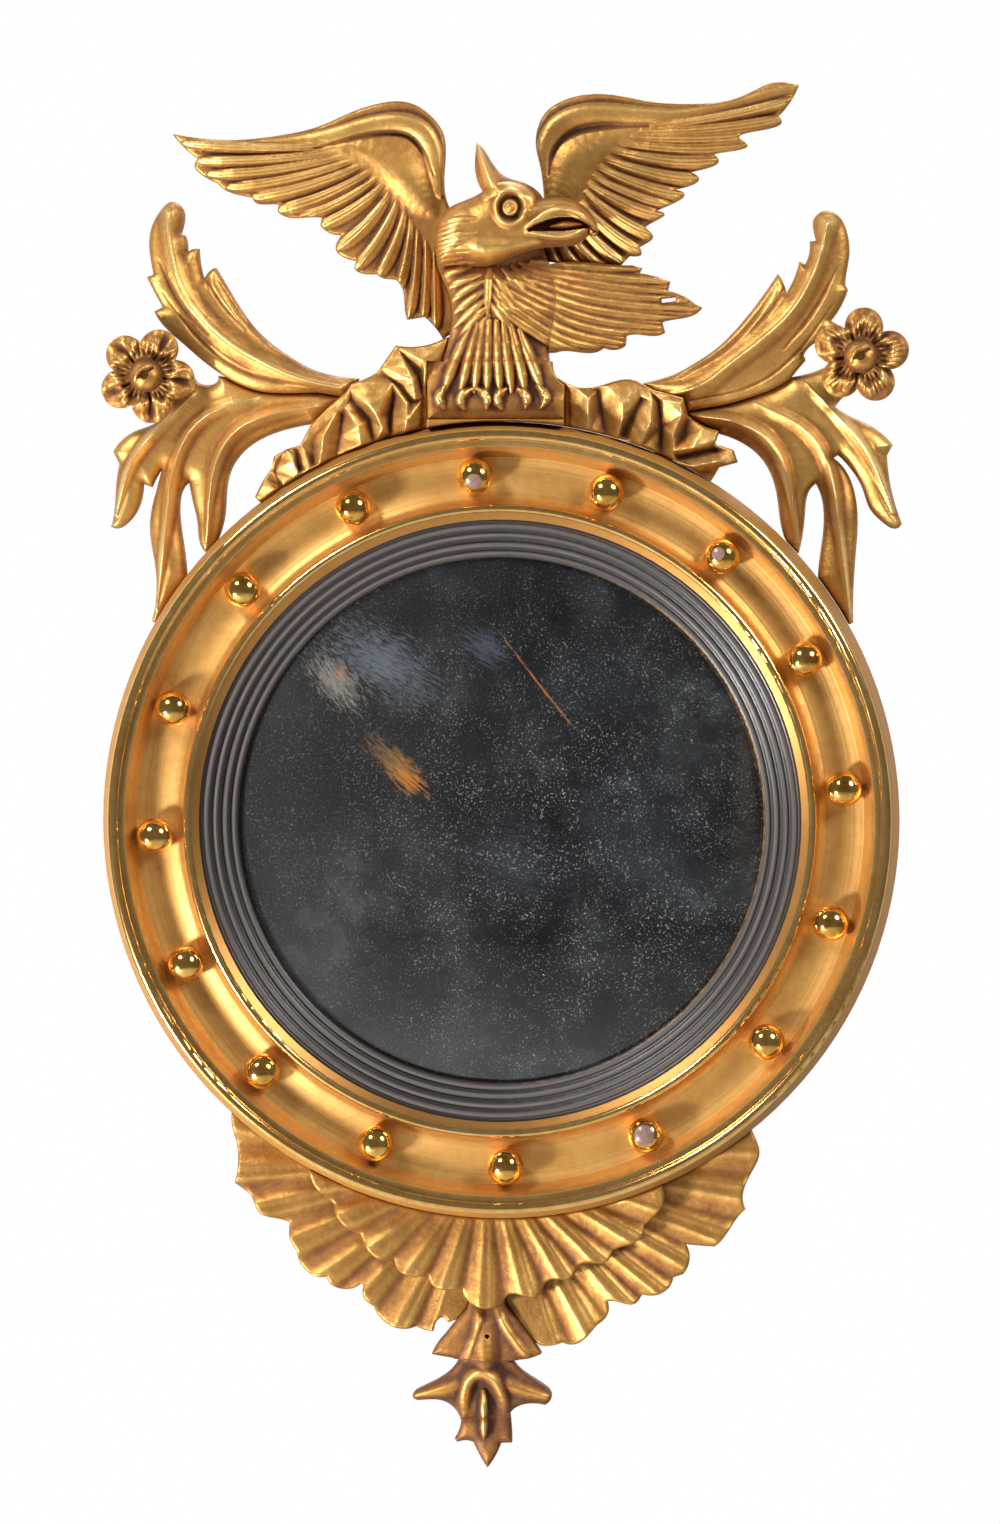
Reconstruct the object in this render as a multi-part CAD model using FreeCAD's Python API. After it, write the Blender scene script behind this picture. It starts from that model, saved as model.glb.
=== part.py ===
"""A girandole mirror: a round giltwood frame with a convex glass.

An eagle crest, leaf brackets and a shell apron are carved round it.

Sizes are in millimetres, and every depth is a distance forward from the wall. The carvings are drawn on the
wall as x to the right and z up from the middle of the glass, in hundredths of the frame's radius, so that
they keep to the frame. The origin of the finished part is the point on the wall where the hook carries the
hanging ring.
"""

import FreeCAD
import Part

import math
import os

Vector = FreeCAD.Vector

# ---------------------------------------------------------------- driving sizes
GLASS_RADIUS = 190.5             # 15 inch convex glass
GLASS_THICKNESS = 4.0
GLASS_BULGE = 27.0               # rise of the glass from its rim to its middle
GLASS_LAP = 6.0                  # edge of the glass that the slip covers
SLIP_WIDTH = 26.5                # reeded slip, from the sight edge to the gilt lip
FRAME_WIDTH = 68.5               # turned frame, from the gilt lip to its edge: 22 inches across in all
WALL_GAP = 8.0                   # how far the back of the carving stands off the wall

OUTER_BEAD_RADIUS = 4.0          # section of the bead at the frame's edge
OUTER_BEAD_INSET = 9.2           # bead's middle, in from the frame's edge
OUTER_BEAD_DEPTH = 58.0
INNER_BEAD_RADIUS = 3.0
INNER_BEAD_OUTSET = 7.9          # bead's middle, out from the lip
INNER_BEAD_DEPTH = 48.5
HOLLOW_DEPTH = 37.0              # floor of the hollow that carries the balls
HOLLOW_RISE = 2.5                # how much the floor rises to its two sides
HOLLOW_SIDES = 42.9              # what the beads and walls leave of the frame's width for the hollow
HOLLOW_INSET = 2.6               # how far the balls stand in from halfway between the beads
LIP_DEPTH = 45.0
LIP_THICKNESS = 3.0

BACK_RIM_OUTER_INSET = 17.5      # flat rim that bears on the wall
BACK_RIM_WIDTH = 12.0

BALL_RADIUS = 12.7               # one inch turned ball
BALL_PEG_RADIUS = 3.0
BALL_PEG_LENGTH = 12.0
BALL_SEAT_GAP = 0.3
BALL_ANGLES = (-4, 18, 40, 62, 84.5, 107, 129.5, 155, 179, 201, 223.5, 245.5, 267.5, 289, 312, 335)

SLIP_BACK_DEPTH = 20.0
SLIP_LIP_THICKNESS = 2.0
SLIP_FLANGE = 8.0                # part of the slip behind the gilt lip
REED_COUNT = 4

BACKBOARD_THICKNESS = 5.0
BACKBOARD_LAP = 7.0              # how far the board covers the shoulder behind the slip
BLOCK_COUNT = 8
BLOCK_LENGTH = 28.0
BLOCK_WIDTH = 16.0
BLOCK_THICKNESS = 6.5

FIT_GAP = 0.3                    # between curved faces that stand close
GLUE_GAP = 0.2                   # between glued carvings and the frame
RUNNING_GAP = 0.05               # round a screw or a hinge wire

BUTTON_COUNT = 6
BUTTON_FIRST_ANGLE = 30.0
BUTTON_LAP = 8.0                 # how far a button reaches over the backboard
BUTTON_TAIL = 6.0
BUTTON_WIDTH = 12.0
BUTTON_THICKNESS = 2.0
BUTTON_LIFT = 0.2

SCREW_RADIUS = 1.75
SCREW_LENGTH = 13.0
SCREW_HEAD_RADIUS = 3.6
SCREW_HEAD_HEIGHT = 1.8

HINGE_OUTSET = 2.5               # hinge of the hanging ring, out from the backboard
HANGER_WIDTH = 56.0
HANGER_THICKNESS = 2.0
HANGER_SCREW_INSET = 7.0
RING_WIRE_RADIUS = 1.6
RING_CORNER_RADIUS = 3.0
POCKET_WIDTH = 24.0              # room for the tongue of the wall hook
POCKET_DEPTH = 12.0
KNUCKLE_WALL = 1.3
KNUCKLE_LENGTH = 20.0

STRAP_THICKNESS = 2.0
STRAP_WIDTH = 14.0

# Backs and fronts of the carvings, from the wall
ROCK_FRONT = 40.0
PLINTH_FRONT = 42.0
PLINTH_STRIP_FRONT = 52.0
PLINTH_STRIP_TOP = 100.54
WING_BACK = 14.0
WING_FRONT = 25.0
TAIL_FRONT = 28.0
HEAD_BACK = 40.0
HEAD_FRONT = 62.0
LEAF_FRONT = 28.0
BRACKET_FRONT = 24.0
FLOWER_BACK = 36.0
FLOWER_THICKNESS = 8.0
SHELL_REAR_FRONT = 19.0
SHELL_FRONT_BACK = 24.2
SHELL_FRONT_FRONT = 33.0
PENDANT_FRONT = 26.0

# ---------------------------------------------------------------- sizes that follow
SIGHT_RADIUS = GLASS_RADIUS - GLASS_LAP
RING_LIP_RADIUS = SIGHT_RADIUS + SLIP_WIDTH
RING_OUTER_RADIUS = RING_LIP_RADIUS + FRAME_WIDTH
UNIT = RING_OUTER_RADIUS / 100   # one step of the drawn carvings
HOLLOW_WIDTH = FRAME_WIDTH - HOLLOW_SIDES
SLIP_OUTER_RADIUS = RING_LIP_RADIUS + SLIP_FLANGE
BACKBOARD_RADIUS = SLIP_OUTER_RADIUS + BACKBOARD_LAP
BACK_RIM_OUTER = RING_OUTER_RADIUS - BACK_RIM_OUTER_INSET
BACK_RIM_INNER = BACK_RIM_OUTER - BACK_RIM_WIDTH
RECESS_WIDTH = BACK_RIM_INNER - BACKBOARD_RADIUS
SLIP_SEAT_DEPTH = LIP_DEPTH - LIP_THICKNESS
GLASS_RIM_DEPTH = SLIP_BACK_DEPTH + GLASS_THICKNESS
GLASS_SPHERE = (GLASS_RADIUS ** 2 + GLASS_BULGE ** 2) / (2 * GLASS_BULGE)
GLASS_CENTRE_DEPTH = GLASS_RIM_DEPTH + GLASS_BULGE - GLASS_SPHERE
OUTER_BEAD_AT = RING_OUTER_RADIUS - OUTER_BEAD_INSET
INNER_BEAD_AT = RING_LIP_RADIUS + INNER_BEAD_OUTSET
BALL_CIRCLE_RADIUS = (OUTER_BEAD_AT + INNER_BEAD_AT) / 2 - HOLLOW_INSET
BALL_DEPTH = HOLLOW_DEPTH + BALL_SEAT_GAP + BALL_RADIUS
BUTTON_PIVOT_RADIUS = BACKBOARD_RADIUS + RECESS_WIDTH * 5 / 12
HINGE_RADIUS = BACKBOARD_RADIUS + HINGE_OUTSET
HINGE_DEPTH = WALL_GAP - HANGER_THICKNESS - RING_WIRE_RADIUS - FIT_GAP
HANGER_HEIGHT = RECESS_WIDTH * 5 / 12
RING_BOW_RADIUS = RECESS_WIDTH - 7.0     # the raised ring stays inside the back rim
POCKET_HEIGHT = RECESS_WIDTH * 3 / 8
HOOK_HEIGHT = HINGE_RADIUS + RING_BOW_RADIUS - RING_WIRE_RADIUS


def glass_depth(radius):
    """Depth of the glass's front face at a radius from its middle."""
    return GLASS_CENTRE_DEPTH + math.sqrt(GLASS_SPHERE ** 2 - radius ** 2)


# ---------------------------------------------------------------- drawing helpers
def point(x, z, depth):
    """A place on the part, from the wall drawing and the distance to the wall."""
    return Vector(x, -depth, z)


def run_edge(points, depth):
    """A straight edge through two points, or one smooth curve through more."""
    places = [point(x, z, depth) for x, z in points]
    if len(places) == 2:
        return Part.LineSegment(places[0], places[1]).toShape()
    curve = Part.BSplineCurve()
    curve.interpolate(places)
    return curve.toShape()


def outline_face(outline, depth):
    """A flat face inside an outline: a first point, then runs that each start where the last one ended."""
    start, runs = outline[0], outline[1:]
    edges = []
    last = start
    for run in list(runs):
        edges.append(run_edge([last] + list(run), depth))
        last = run[-1]
    if last != start:
        edges.append(run_edge([last, start], depth))
    return Part.Face(Part.Wire(edges))


def sized(place):
    """A drawn place, in millimetres."""
    return place[0] * UNIT, place[1] * UNIT


def spot(x, z, depth):
    """A drawn place and a depth as a point on the part."""
    return point(x * UNIT, z * UNIT, depth)


def drawn(outline):
    """A drawn outline, in millimetres."""
    return [sized(outline[0])] + [[sized(place) for place in run] for run in outline[1:]]


def plate(outline, back, front):
    """A board cut to an outline, from one depth to another."""
    return outline_face(outline, back).extrude(Vector(0, back - front, 0))


def cylinder(x, z, back, front, radius):
    """A round bar square to the wall."""
    return Part.makeCylinder(radius, front - back, point(x, z, back), Vector(0, -1, 0))


def turned(profile):
    """A solid turned round the mirror's axis from a list of (radius, depth) points or ready edges."""
    edges = []
    last = None
    for item in profile:
        if isinstance(item, tuple):
            here = Vector(item[0], -item[1], 0)
            if last is not None and last.sub(here).Length > 1e-6:
                edges.append(Part.LineSegment(last, here).toShape())
            last = here
        else:
            start, end = item.valueAt(item.FirstParameter), item.valueAt(item.LastParameter)
            if last is not None and last.sub(start).Length > 1e-6:
                edges.append(Part.LineSegment(last, start).toShape())
            edges.append(item)
            last = end
    first = edges[0].valueAt(edges[0].FirstParameter)
    if last.sub(first).Length > 1e-6:
        edges.append(Part.LineSegment(last, first).toShape())
    return Part.Face(Part.Wire(edges)).revolve(Vector(0, 0, 0), Vector(0, 1, 0), 360)


def arc(start, middle, end):
    """An arc through three (radius, depth) points of a turned profile."""
    places = [Vector(r, -depth, 0) for r, depth in (start, middle, end)]
    return Part.Arc(*places).toShape()


def polar(radius, degrees):
    """A place on the wall at an angle clockwise from the top."""
    a = math.radians(degrees)
    return radius * math.sin(a), radius * math.cos(a)


def ridge(line, half_widths, heights, base):
    """A carved rib: a drawn line with a half width and a height at each point, standing on a depth."""
    line = [sized(place) for place in line]
    lows, highs, tops = [], [], []
    for i, (x, z) in enumerate(line):
        x0, z0 = line[max(i - 1, 0)]
        x1, z1 = line[min(i + 1, len(line) - 1)]
        length = math.hypot(x1 - x0, z1 - z0)
        nx, nz = -(z1 - z0) / length, (x1 - x0) / length
        w = half_widths[i]
        lows.append(point(x - nx * w, z - nz * w, base))
        highs.append(point(x + nx * w, z + nz * w, base))
        tops.append(point(x, z, base + heights[i]))
    triangles = [(lows[0], tops[0], highs[0]), (lows[-1], highs[-1], tops[-1])]
    for i in range(len(line) - 1):
        for a, b in ((lows, tops), (tops, highs), (highs, lows)):
            triangles.append((a[i], a[i + 1], b[i + 1]))
            triangles.append((a[i], b[i + 1], b[i]))
    faces = [Part.Face(Part.makePolygon([a, b, c, a])) for a, b, c in triangles]
    solid = Part.Solid(Part.Shell(faces))
    return solid if solid.Volume > 0 else solid.reversed()


def taper(root, tip, width, height, base):
    """A straight rib, broad in its middle and fine at its tip."""
    line = [tuple(root[k] + (tip[k] - root[k]) * t for k in (0, 1)) for t in (0, 0.35, 0.75, 1)]
    widths = [width * s for s in (0.35, 0.8, 1.0, 0.5)]
    heights = [height * s for s in (0.35, 1.0, 1.0, 0.4)]
    return ridge(line, widths, heights, base)


def joined(first, others):
    """One solid from overlapping ones."""
    whole = first.fuse(list(others))
    return whole.removeSplitter()


def solids_of(shape, smallest=60.0):
    """The solids of a shape without the slivers that a cut leaves."""
    kept = [s for s in shape.Solids if s.Volume > smallest]
    return kept[0] if len(kept) == 1 else Part.makeCompound(kept)


# ---------------------------------------------------------------- the frame and the glass
def ring_outer_side(gap):
    """Profile of the frame's outer side, from its back to its bead, moved out by a gap."""
    foot = RING_OUTER_RADIUS + gap
    bead = OUTER_BEAD_AT + OUTER_BEAD_RADIUS + gap
    return [(foot, WALL_GAP), (foot, 30.0), (bead + 1.2, OUTER_BEAD_DEPTH - 8.0),
            (bead, OUTER_BEAD_DEPTH - 4.0), (bead, OUTER_BEAD_DEPTH)]


def frame_ring():
    """The turned frame: outer bead, hollow for the balls, inner bead and lip, with a stepped back."""
    bead, small = OUTER_BEAD_RADIUS, INNER_BEAD_RADIUS
    floor_middle = BALL_CIRCLE_RADIUS
    floor_in, floor_out = floor_middle - HOLLOW_WIDTH / 2, floor_middle + HOLLOW_WIDTH / 2
    side = HOLLOW_DEPTH + HOLLOW_RISE
    fillet = OUTER_BEAD_AT - bead - 4.3
    profile = [(BACK_RIM_OUTER, 0.0), (BACK_RIM_OUTER, WALL_GAP)]
    profile += ring_outer_side(0.0)
    profile += [
        arc((OUTER_BEAD_AT + bead, OUTER_BEAD_DEPTH), (OUTER_BEAD_AT, OUTER_BEAD_DEPTH + bead),
            (OUTER_BEAD_AT - bead, OUTER_BEAD_DEPTH)),
        (fillet, OUTER_BEAD_DEPTH - 1.0),
        (fillet, OUTER_BEAD_DEPTH - 4.0),
        arc((fillet, OUTER_BEAD_DEPTH - 4.0), (fillet - 5.5, side + 4.2), (floor_out, side)),
        arc((floor_out, side), (floor_middle, HOLLOW_DEPTH), (floor_in, side)),
        arc((floor_in, side), (floor_in - 4.2, side + 2.6), (INNER_BEAD_AT + small, INNER_BEAD_DEPTH)),
        arc((INNER_BEAD_AT + small, INNER_BEAD_DEPTH), (INNER_BEAD_AT, INNER_BEAD_DEPTH + small),
            (INNER_BEAD_AT - small, INNER_BEAD_DEPTH)),
        (RING_LIP_RADIUS, LIP_DEPTH),
        (RING_LIP_RADIUS, SLIP_SEAT_DEPTH),
        (SLIP_OUTER_RADIUS + FIT_GAP, SLIP_SEAT_DEPTH),
        (SLIP_OUTER_RADIUS + FIT_GAP, WALL_GAP + BACKBOARD_THICKNESS),
        (BACKBOARD_RADIUS + FIT_GAP, WALL_GAP + BACKBOARD_THICKNESS),
        (BACKBOARD_RADIUS + FIT_GAP, WALL_GAP),
        (BACK_RIM_INNER, WALL_GAP),
        (BACK_RIM_INNER, 0.0),
    ]
    body = turned(profile)
    drills = []
    for angle in BALL_ANGLES:
        x, z = polar(BALL_CIRCLE_RADIUS, angle)
        foot = HOLLOW_DEPTH - BALL_PEG_LENGTH - FIT_GAP
        drills.append(cylinder(x, z, foot, BALL_DEPTH, BALL_PEG_RADIUS + RUNNING_GAP))
    for x, z in button_places() + hanger_screw_places() + strap_ring_screw_places():
        drills.append(cylinder(x, z, 0.0, WALL_GAP + SCREW_LENGTH, SCREW_RADIUS))
    low = HINGE_RADIUS + HANGER_HEIGHT + 1.0
    half = POCKET_WIDTH / 2
    pocket = plate([(-half, low), [(half, low)], [(half, low + POCKET_HEIGHT)],
                    [(-half, low + POCKET_HEIGHT)]],
                   WALL_GAP, WALL_GAP + POCKET_DEPTH)
    return body.cut(drills + [pocket])


def ring_room():
    """Everything inside the frame's outer side, which the glued carvings are cut back from."""
    side = ring_outer_side(GLUE_GAP)
    return turned([(0.0, 0.0), (side[0][0], 0.0)] + side + [(side[-1][0], 90.0), (0.0, 90.0)])


def ball(angle):
    """A turned ball with the peg that is glued into the hollow."""
    x, z = polar(BALL_CIRCLE_RADIUS, angle)
    sphere = Part.makeSphere(BALL_RADIUS, point(x, z, BALL_DEPTH))
    peg = cylinder(x, z, HOLLOW_DEPTH - BALL_PEG_LENGTH, BALL_DEPTH, BALL_PEG_RADIUS)
    return sphere.fuse(peg)


def reeded_slip():
    """The ebonised slip: reeds stepping down to the sight, a flange behind the lip, a rebate for the glass."""
    lip_back = glass_depth(SIGHT_RADIUS) + FIT_GAP
    low = (SIGHT_RADIUS, lip_back + SLIP_LIP_THICKNESS)
    high = (RING_LIP_RADIUS - 1.5, SLIP_SEAT_DEPTH)
    profile = [(SIGHT_RADIUS, lip_back), low]
    step_r = (high[0] - low[0]) / REED_COUNT
    step_d = (high[1] - low[1]) / REED_COUNT
    for i in range(REED_COUNT):
        a = (low[0] + i * step_r, low[1] + i * step_d)
        b = (a[0] + step_r * 0.86, a[1] + step_d * 0.86)
        crown = ((a[0] + b[0]) / 2 - step_d * 0.34, (a[1] + b[1]) / 2 + step_r * 0.34)
        profile += [arc(a, crown, b), (a[0] + step_r, a[1] + step_d)]
    profile += [
        (SLIP_OUTER_RADIUS, SLIP_SEAT_DEPTH),
        (SLIP_OUTER_RADIUS, SLIP_BACK_DEPTH),
        (GLASS_RADIUS + FIT_GAP, SLIP_BACK_DEPTH),
        (GLASS_RADIUS + FIT_GAP, lip_back),
    ]
    return turned(profile)


def convex_glass():
    """The bulged glass, silvered on its back."""
    middle = GLASS_RADIUS / 2
    rim, top = GLASS_RIM_DEPTH, GLASS_RIM_DEPTH + GLASS_BULGE
    return turned([
        (0.0, top - GLASS_THICKNESS),
        (0.0, top),
        arc((0.0, top), (middle, glass_depth(middle)), (GLASS_RADIUS, rim)),
        (GLASS_RADIUS, rim - GLASS_THICKNESS),
        arc((GLASS_RADIUS, rim - GLASS_THICKNESS), (middle, glass_depth(middle) - GLASS_THICKNESS),
            (0.0, top - GLASS_THICKNESS)),
    ])


def glass_blocks():
    """Softwood blocks glued behind the slip, which hold the glass's rim."""
    blocks = []
    for i in range(BLOCK_COUNT):
        angle = 360.0 * (i + 0.5) / BLOCK_COUNT
        block = Part.makeBox(BLOCK_LENGTH, BLOCK_THICKNESS, BLOCK_WIDTH,
                             Vector(-BLOCK_LENGTH / 2, -SLIP_BACK_DEPTH, GLASS_RADIUS - BLOCK_WIDTH / 2))
        block.rotate(Vector(0, 0, 0), Vector(0, 1, 0), angle)
        blocks.append(block)
    return Part.makeCompound(blocks)


def backboard():
    """The round board that closes the back."""
    return cylinder(0, 0, WALL_GAP, WALL_GAP + BACKBOARD_THICKNESS, BACKBOARD_RADIUS)


# ---------------------------------------------------------------- fittings on the back
def button_angles():
    return [BUTTON_FIRST_ANGLE + 360.0 * i / BUTTON_COUNT for i in range(BUTTON_COUNT)]


def button_places():
    return [polar(BUTTON_PIVOT_RADIUS, angle) for angle in button_angles()]


def turn_button(angle):
    """A brass button that turns on its screw: its long end lies over the backboard."""
    front = WALL_GAP - BUTTON_LIFT
    back = front - BUTTON_THICKNESS
    half = BUTTON_WIDTH / 2
    pivot = BUTTON_PIVOT_RADIUS
    reach = BACKBOARD_RADIUS - BUTTON_LAP
    outline = [(-half, pivot), [(-half, reach + half)], [(0, reach), (half, reach + half)], [(half, pivot)],
               [(0, pivot + BUTTON_TAIL), (-half, pivot)]]
    button = plate(outline, back, front)
    button = button.cut(cylinder(0, pivot, back - 1, front + 1, SCREW_RADIUS + RUNNING_GAP))
    button.rotate(Vector(0, 0, 0), Vector(0, 1, 0), angle)
    return button


def screw(x, z, head_depth, length):
    """A round-headed screw driven forward from the back."""
    head = cylinder(x, z, head_depth - SCREW_HEAD_HEIGHT, head_depth, SCREW_HEAD_RADIUS)
    slot = Part.makeBox(2 * SCREW_HEAD_RADIUS + 1, 0.7, 1.0,
                        Vector(x - SCREW_HEAD_RADIUS - 0.5, SCREW_HEAD_HEIGHT - head_depth - 0.7, z - 0.5))
    return head.cut(slot).fuse(cylinder(x, z, head_depth - 0.1, head_depth + length, SCREW_RADIUS))


def button_screws():
    head = WALL_GAP - 2 * BUTTON_LIFT - BUTTON_THICKNESS
    return Part.makeCompound([screw(x, z, head, SCREW_LENGTH) for x, z in button_places()])


def hanger_screw_places():
    x, z = HANGER_WIDTH / 2 - HANGER_SCREW_INSET, HINGE_RADIUS + HANGER_HEIGHT / 2
    return [(-x, z), (x, z)]


def hanger_plate():
    """A brass plate screwed to the back, with a rolled knuckle for the ring at its lower edge."""
    back, front = WALL_GAP - HANGER_THICKNESS, WALL_GAP
    half, low, top = HANGER_WIDTH / 2, HINGE_RADIUS, HINGE_RADIUS + HANGER_HEIGHT
    corner = 3.0
    outline = [(-half, low + corner), [(-half, top - corner)], [(-half + corner, top)],
               [(half - corner, top)],
               [(half, top - corner)], [(half, low + corner)], [(half - corner, low)],
               [(-half + corner, low)]]
    bore = RING_WIRE_RADIUS + RUNNING_GAP
    start = point(-KNUCKLE_LENGTH / 2, low, HINGE_DEPTH)
    knuckle = Part.makeCylinder(bore + KNUCKLE_WALL, KNUCKLE_LENGTH, start, Vector(1, 0, 0))
    tab = Part.makeBox(KNUCKLE_LENGTH, front - HINGE_DEPTH, bore + KNUCKLE_WALL,
                       Vector(-KNUCKLE_LENGTH / 2, -front, low))
    hole = Part.makeCylinder(bore, HANGER_WIDTH, point(-HANGER_WIDTH / 2, low, HINGE_DEPTH), Vector(1, 0, 0))
    sides = []
    for x in (-KNUCKLE_LENGTH / 2 - HANGER_WIDTH, KNUCKLE_LENGTH / 2):
        sides.append(Part.makeBox(HANGER_WIDTH, front, bore + 1.0, Vector(x, -front, low - 1.0)))
    holes = [cylinder(x, z, back - 1, front + 1, SCREW_RADIUS + RUNNING_GAP) for x,
             z in hanger_screw_places()]
    return plate(outline, back, front).cut(sides).fuse([knuckle, tab]).cut([hole] + holes)


def hanging_ring():
    """The D-shaped ring: a straight wire in the knuckle and a bow that hangs below it."""
    low, depth, corner = HINGE_RADIUS, HINGE_DEPTH, RING_CORNER_RADIUS
    half = KNUCKLE_LENGTH / 2 + corner + 1.0
    near = corner * (1 - math.sqrt(0.5))

    def place(x, down):
        return point(x, low - down, depth)

    path = [
        Part.LineSegment(place(corner - half, 0), place(half - corner, 0)),
        Part.Arc(place(half - corner, 0), place(half - near, near), place(half, corner)),
        Part.Arc(place(half, corner), place(0, RING_BOW_RADIUS), place(-half, corner)),
        Part.Arc(place(-half, corner), place(near - half, near), place(corner - half, 0)),
    ]
    pieces = []
    for curve in path:
        edge = curve.toShape()
        start, along = edge.valueAt(edge.FirstParameter), edge.tangentAt(edge.FirstParameter)
        circle = Part.Wire([Part.Circle(start, along, RING_WIRE_RADIUS).toShape()])
        pieces.append(Part.Wire([edge]).makePipeShell([circle], True, False))
        pieces.append(Part.makeSphere(RING_WIRE_RADIUS, start))
    return pieces[0].fuse(pieces[1:])


def hanger_screws():
    head = WALL_GAP - HANGER_THICKNESS
    return Part.makeCompound([screw(x, z, head, SCREW_LENGTH) for x, z in hanger_screw_places()])


# ---------------------------------------------------------------- straps that carry the carvings
STRAP_ANGLES = (-24.0, -3.0, 24.0, 168.0, 206.0)
STRAP_INNER = RING_OUTER_RADIUS - 12.0
STRAP_OUTER = RING_OUTER_RADIUS + 24.0
STRAP_SCREW_INSET = 5.5
SIDE_STRAPS = (((-36.49, 104.47), (-53.67, 102.68)), ((42.22, 101.25), (60.82, 101.61)))
PENDANT_STRAP = ((-3.76, -125.94), (-3.76, -145.97))


def strap_ends():
    """The two screw places of each strap: the frame's or the inner piece's first."""
    ends = []
    for angle in STRAP_ANGLES:
        ends.append((polar(STRAP_INNER + STRAP_SCREW_INSET, angle),
                     polar(STRAP_OUTER - STRAP_SCREW_INSET, angle)))
    for a, b in SIDE_STRAPS:
        ends.append((sized(a), sized(b)))
    a, b = PENDANT_STRAP
    ends.append((sized(a), sized(b)))
    return ends


def strap_ring_screw_places():
    return [ends[0] for ends in strap_ends()[:len(STRAP_ANGLES)]]


def strap_screw_places():
    return [place for ends in strap_ends() for place in ends]


def mounting_straps():
    """Steel straps let across each joint between the frame and its carvings."""
    straps = []
    for (x0, z0), (x1, z1) in strap_ends():
        length = math.hypot(x1 - x0, z1 - z0)
        ux, uz = (x1 - x0) / length, (z1 - z0) / length
        half = STRAP_WIDTH / 2
        reach = STRAP_SCREW_INSET
        corners = []
        for along, across in ((-reach, -half), (length + reach, -half), (length + reach, half),
                              (-reach, half)):
            base = (x0, z0)
            corners.append((base[0] + ux * along - uz * across, base[1] + uz * along + ux * across))
        body = plate([corners[0]] + [[c] for c in corners[1:]], WALL_GAP - STRAP_THICKNESS, WALL_GAP)
        for x, z in ((x0, z0), (x1, z1)):
            body = body.cut(cylinder(x, z, 0, WALL_GAP + 1, SCREW_RADIUS + RUNNING_GAP))
        straps.append(body)
    return Part.makeCompound(straps)


def strap_screws():
    head = WALL_GAP - STRAP_THICKNESS
    return Part.makeCompound([screw(x, z, head, 9.0) for x, z in strap_screw_places()])


def drilled(shape):
    """A carving with the pilot holes of the strap screws that enter it."""
    drills = [cylinder(x, z, 0, WALL_GAP + 8.0, SCREW_RADIUS) for x, z in strap_screw_places()]
    return shape.cut(drills)


# ---------------------------------------------------------------- the eagle
WING_LEFT = [
    (-10.73, 153.13),
    [(-12.88, 153.49)],
    [(-13.95, 156.35), (-14.31, 161.72), (-14.67, 172.45), (-17.89, 176.92), (-23.61, 180.14),
     (-30.05, 179.96), (-37.21, 177.82), (-45.44, 174.24),
     (-55.46, 171.91), (-66.19, 170.77), (-75.85, 171.2), (-82.65, 172.27)],
    [(-79.79, 168.87), (-76.21, 166.01)],
    [(-77.1, 164.22), (-75.49, 162.08), (-71.2, 159.75)],
    [(-68.69, 157.78), (-65.47, 156.82), (-62.43, 156.17)],
    [(-62.08, 155.28), (-59.03, 154.56), (-55.81, 154.38)],
    [(-55.99, 152.59), (-54.38, 151.52), (-50.09, 151.16), (-45.08, 151.16)],
    [(-45.44, 149.19)],
    [(-43.29, 147.41), (-40.07, 146.87)],
    [(-40.61, 141.86), (-39.36, 141.14), (-36.31, 140.25)],
    [(-36.49, 137.92), (-35.06, 137.21), (-31.13, 137.03)],
    [(-29.7, 135.96), (-27.91, 135.78), (-26.12, 135.35)],
    [(-25.04, 133.81), (-24.33, 129.16), (-23.61, 125.58)],
    [(-21.47, 125.94), (-19.32, 126.3)],
    [(-17.53, 124.69), (-14.67, 120.75)],
    [(-10.73, 123.43)],
]
WING_RIGHT = [
    (10.55, 152.06),
    [(10.48, 159.21), (9.66, 164.58), (8.66, 169.23), (9.12, 173.52), (11.45, 177.82), (16.1, 180.68),
     (20.39, 181.82), (25.04, 182.11), (30.41, 181.5),
     (36.49, 180.32), (42.93, 179.68), (50.09, 179.61), (56.53, 180.32), (62.97, 182.65), (67.98, 184.79),
     (72.63, 184.72), (74.6, 184.26)],
    [(73.7, 182.11), (69.41, 176.39)],
    [(70.3, 174.96), (67.98, 173.52), (60.47, 170.3)],
    [(61.72, 169.05), (59.39, 167.98), (53.67, 166.55)],
    [(54.56, 165.3), (51.88, 163.51), (47.58, 162.43)],
    [(49.55, 160.47), (47.23, 159.03), (43.29, 158.14)],
    [(45.97, 156.71), (42.93, 154.56), (39, 152.77)],
    [(40.97, 151.88), (38.64, 150.27), (36.14, 148.48)],
    [(37.75, 145.62), (36.14, 144.54), (34.7, 143.65)],
    [(35.24, 142.22), (32.2, 141.5)],
    [(30.05, 139.18)],
    [(21.47, 138.82)],
    [(10.73, 140.25)],
]
TAIL = [
    (9.3, 138.1),
    [(21.47, 139.89), (30.05, 139.18), (32.92, 139.18)],
    [(35.42, 138.46)],
    [(34.7, 137.21)],
    [(38.64, 136.49), (42.4, 135.06)],
    [(41.86, 132.74)],
    [(45.08, 131.84), (47.05, 130.77)],
    [(48.66, 129.52), (50.45, 128.62)],
    [(49.37, 127.37), (44.72, 125.76), (40.43, 124.87)],
    [(41.14, 122.36)],
    [(40.07, 121.75), (35.78, 121.65), (31.48, 121.47)],
    [(31.31, 119.14)],
    [(30.41, 118.5), (25.76, 118.43)],
    [(23.61, 117.35), (19.68, 117.35), (13.6, 117.25)],
    [(9.3, 117.25)],
]
TAIL_SLIT = ((40.25, 130.23), (43.83, 130.66), 0.5)
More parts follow.
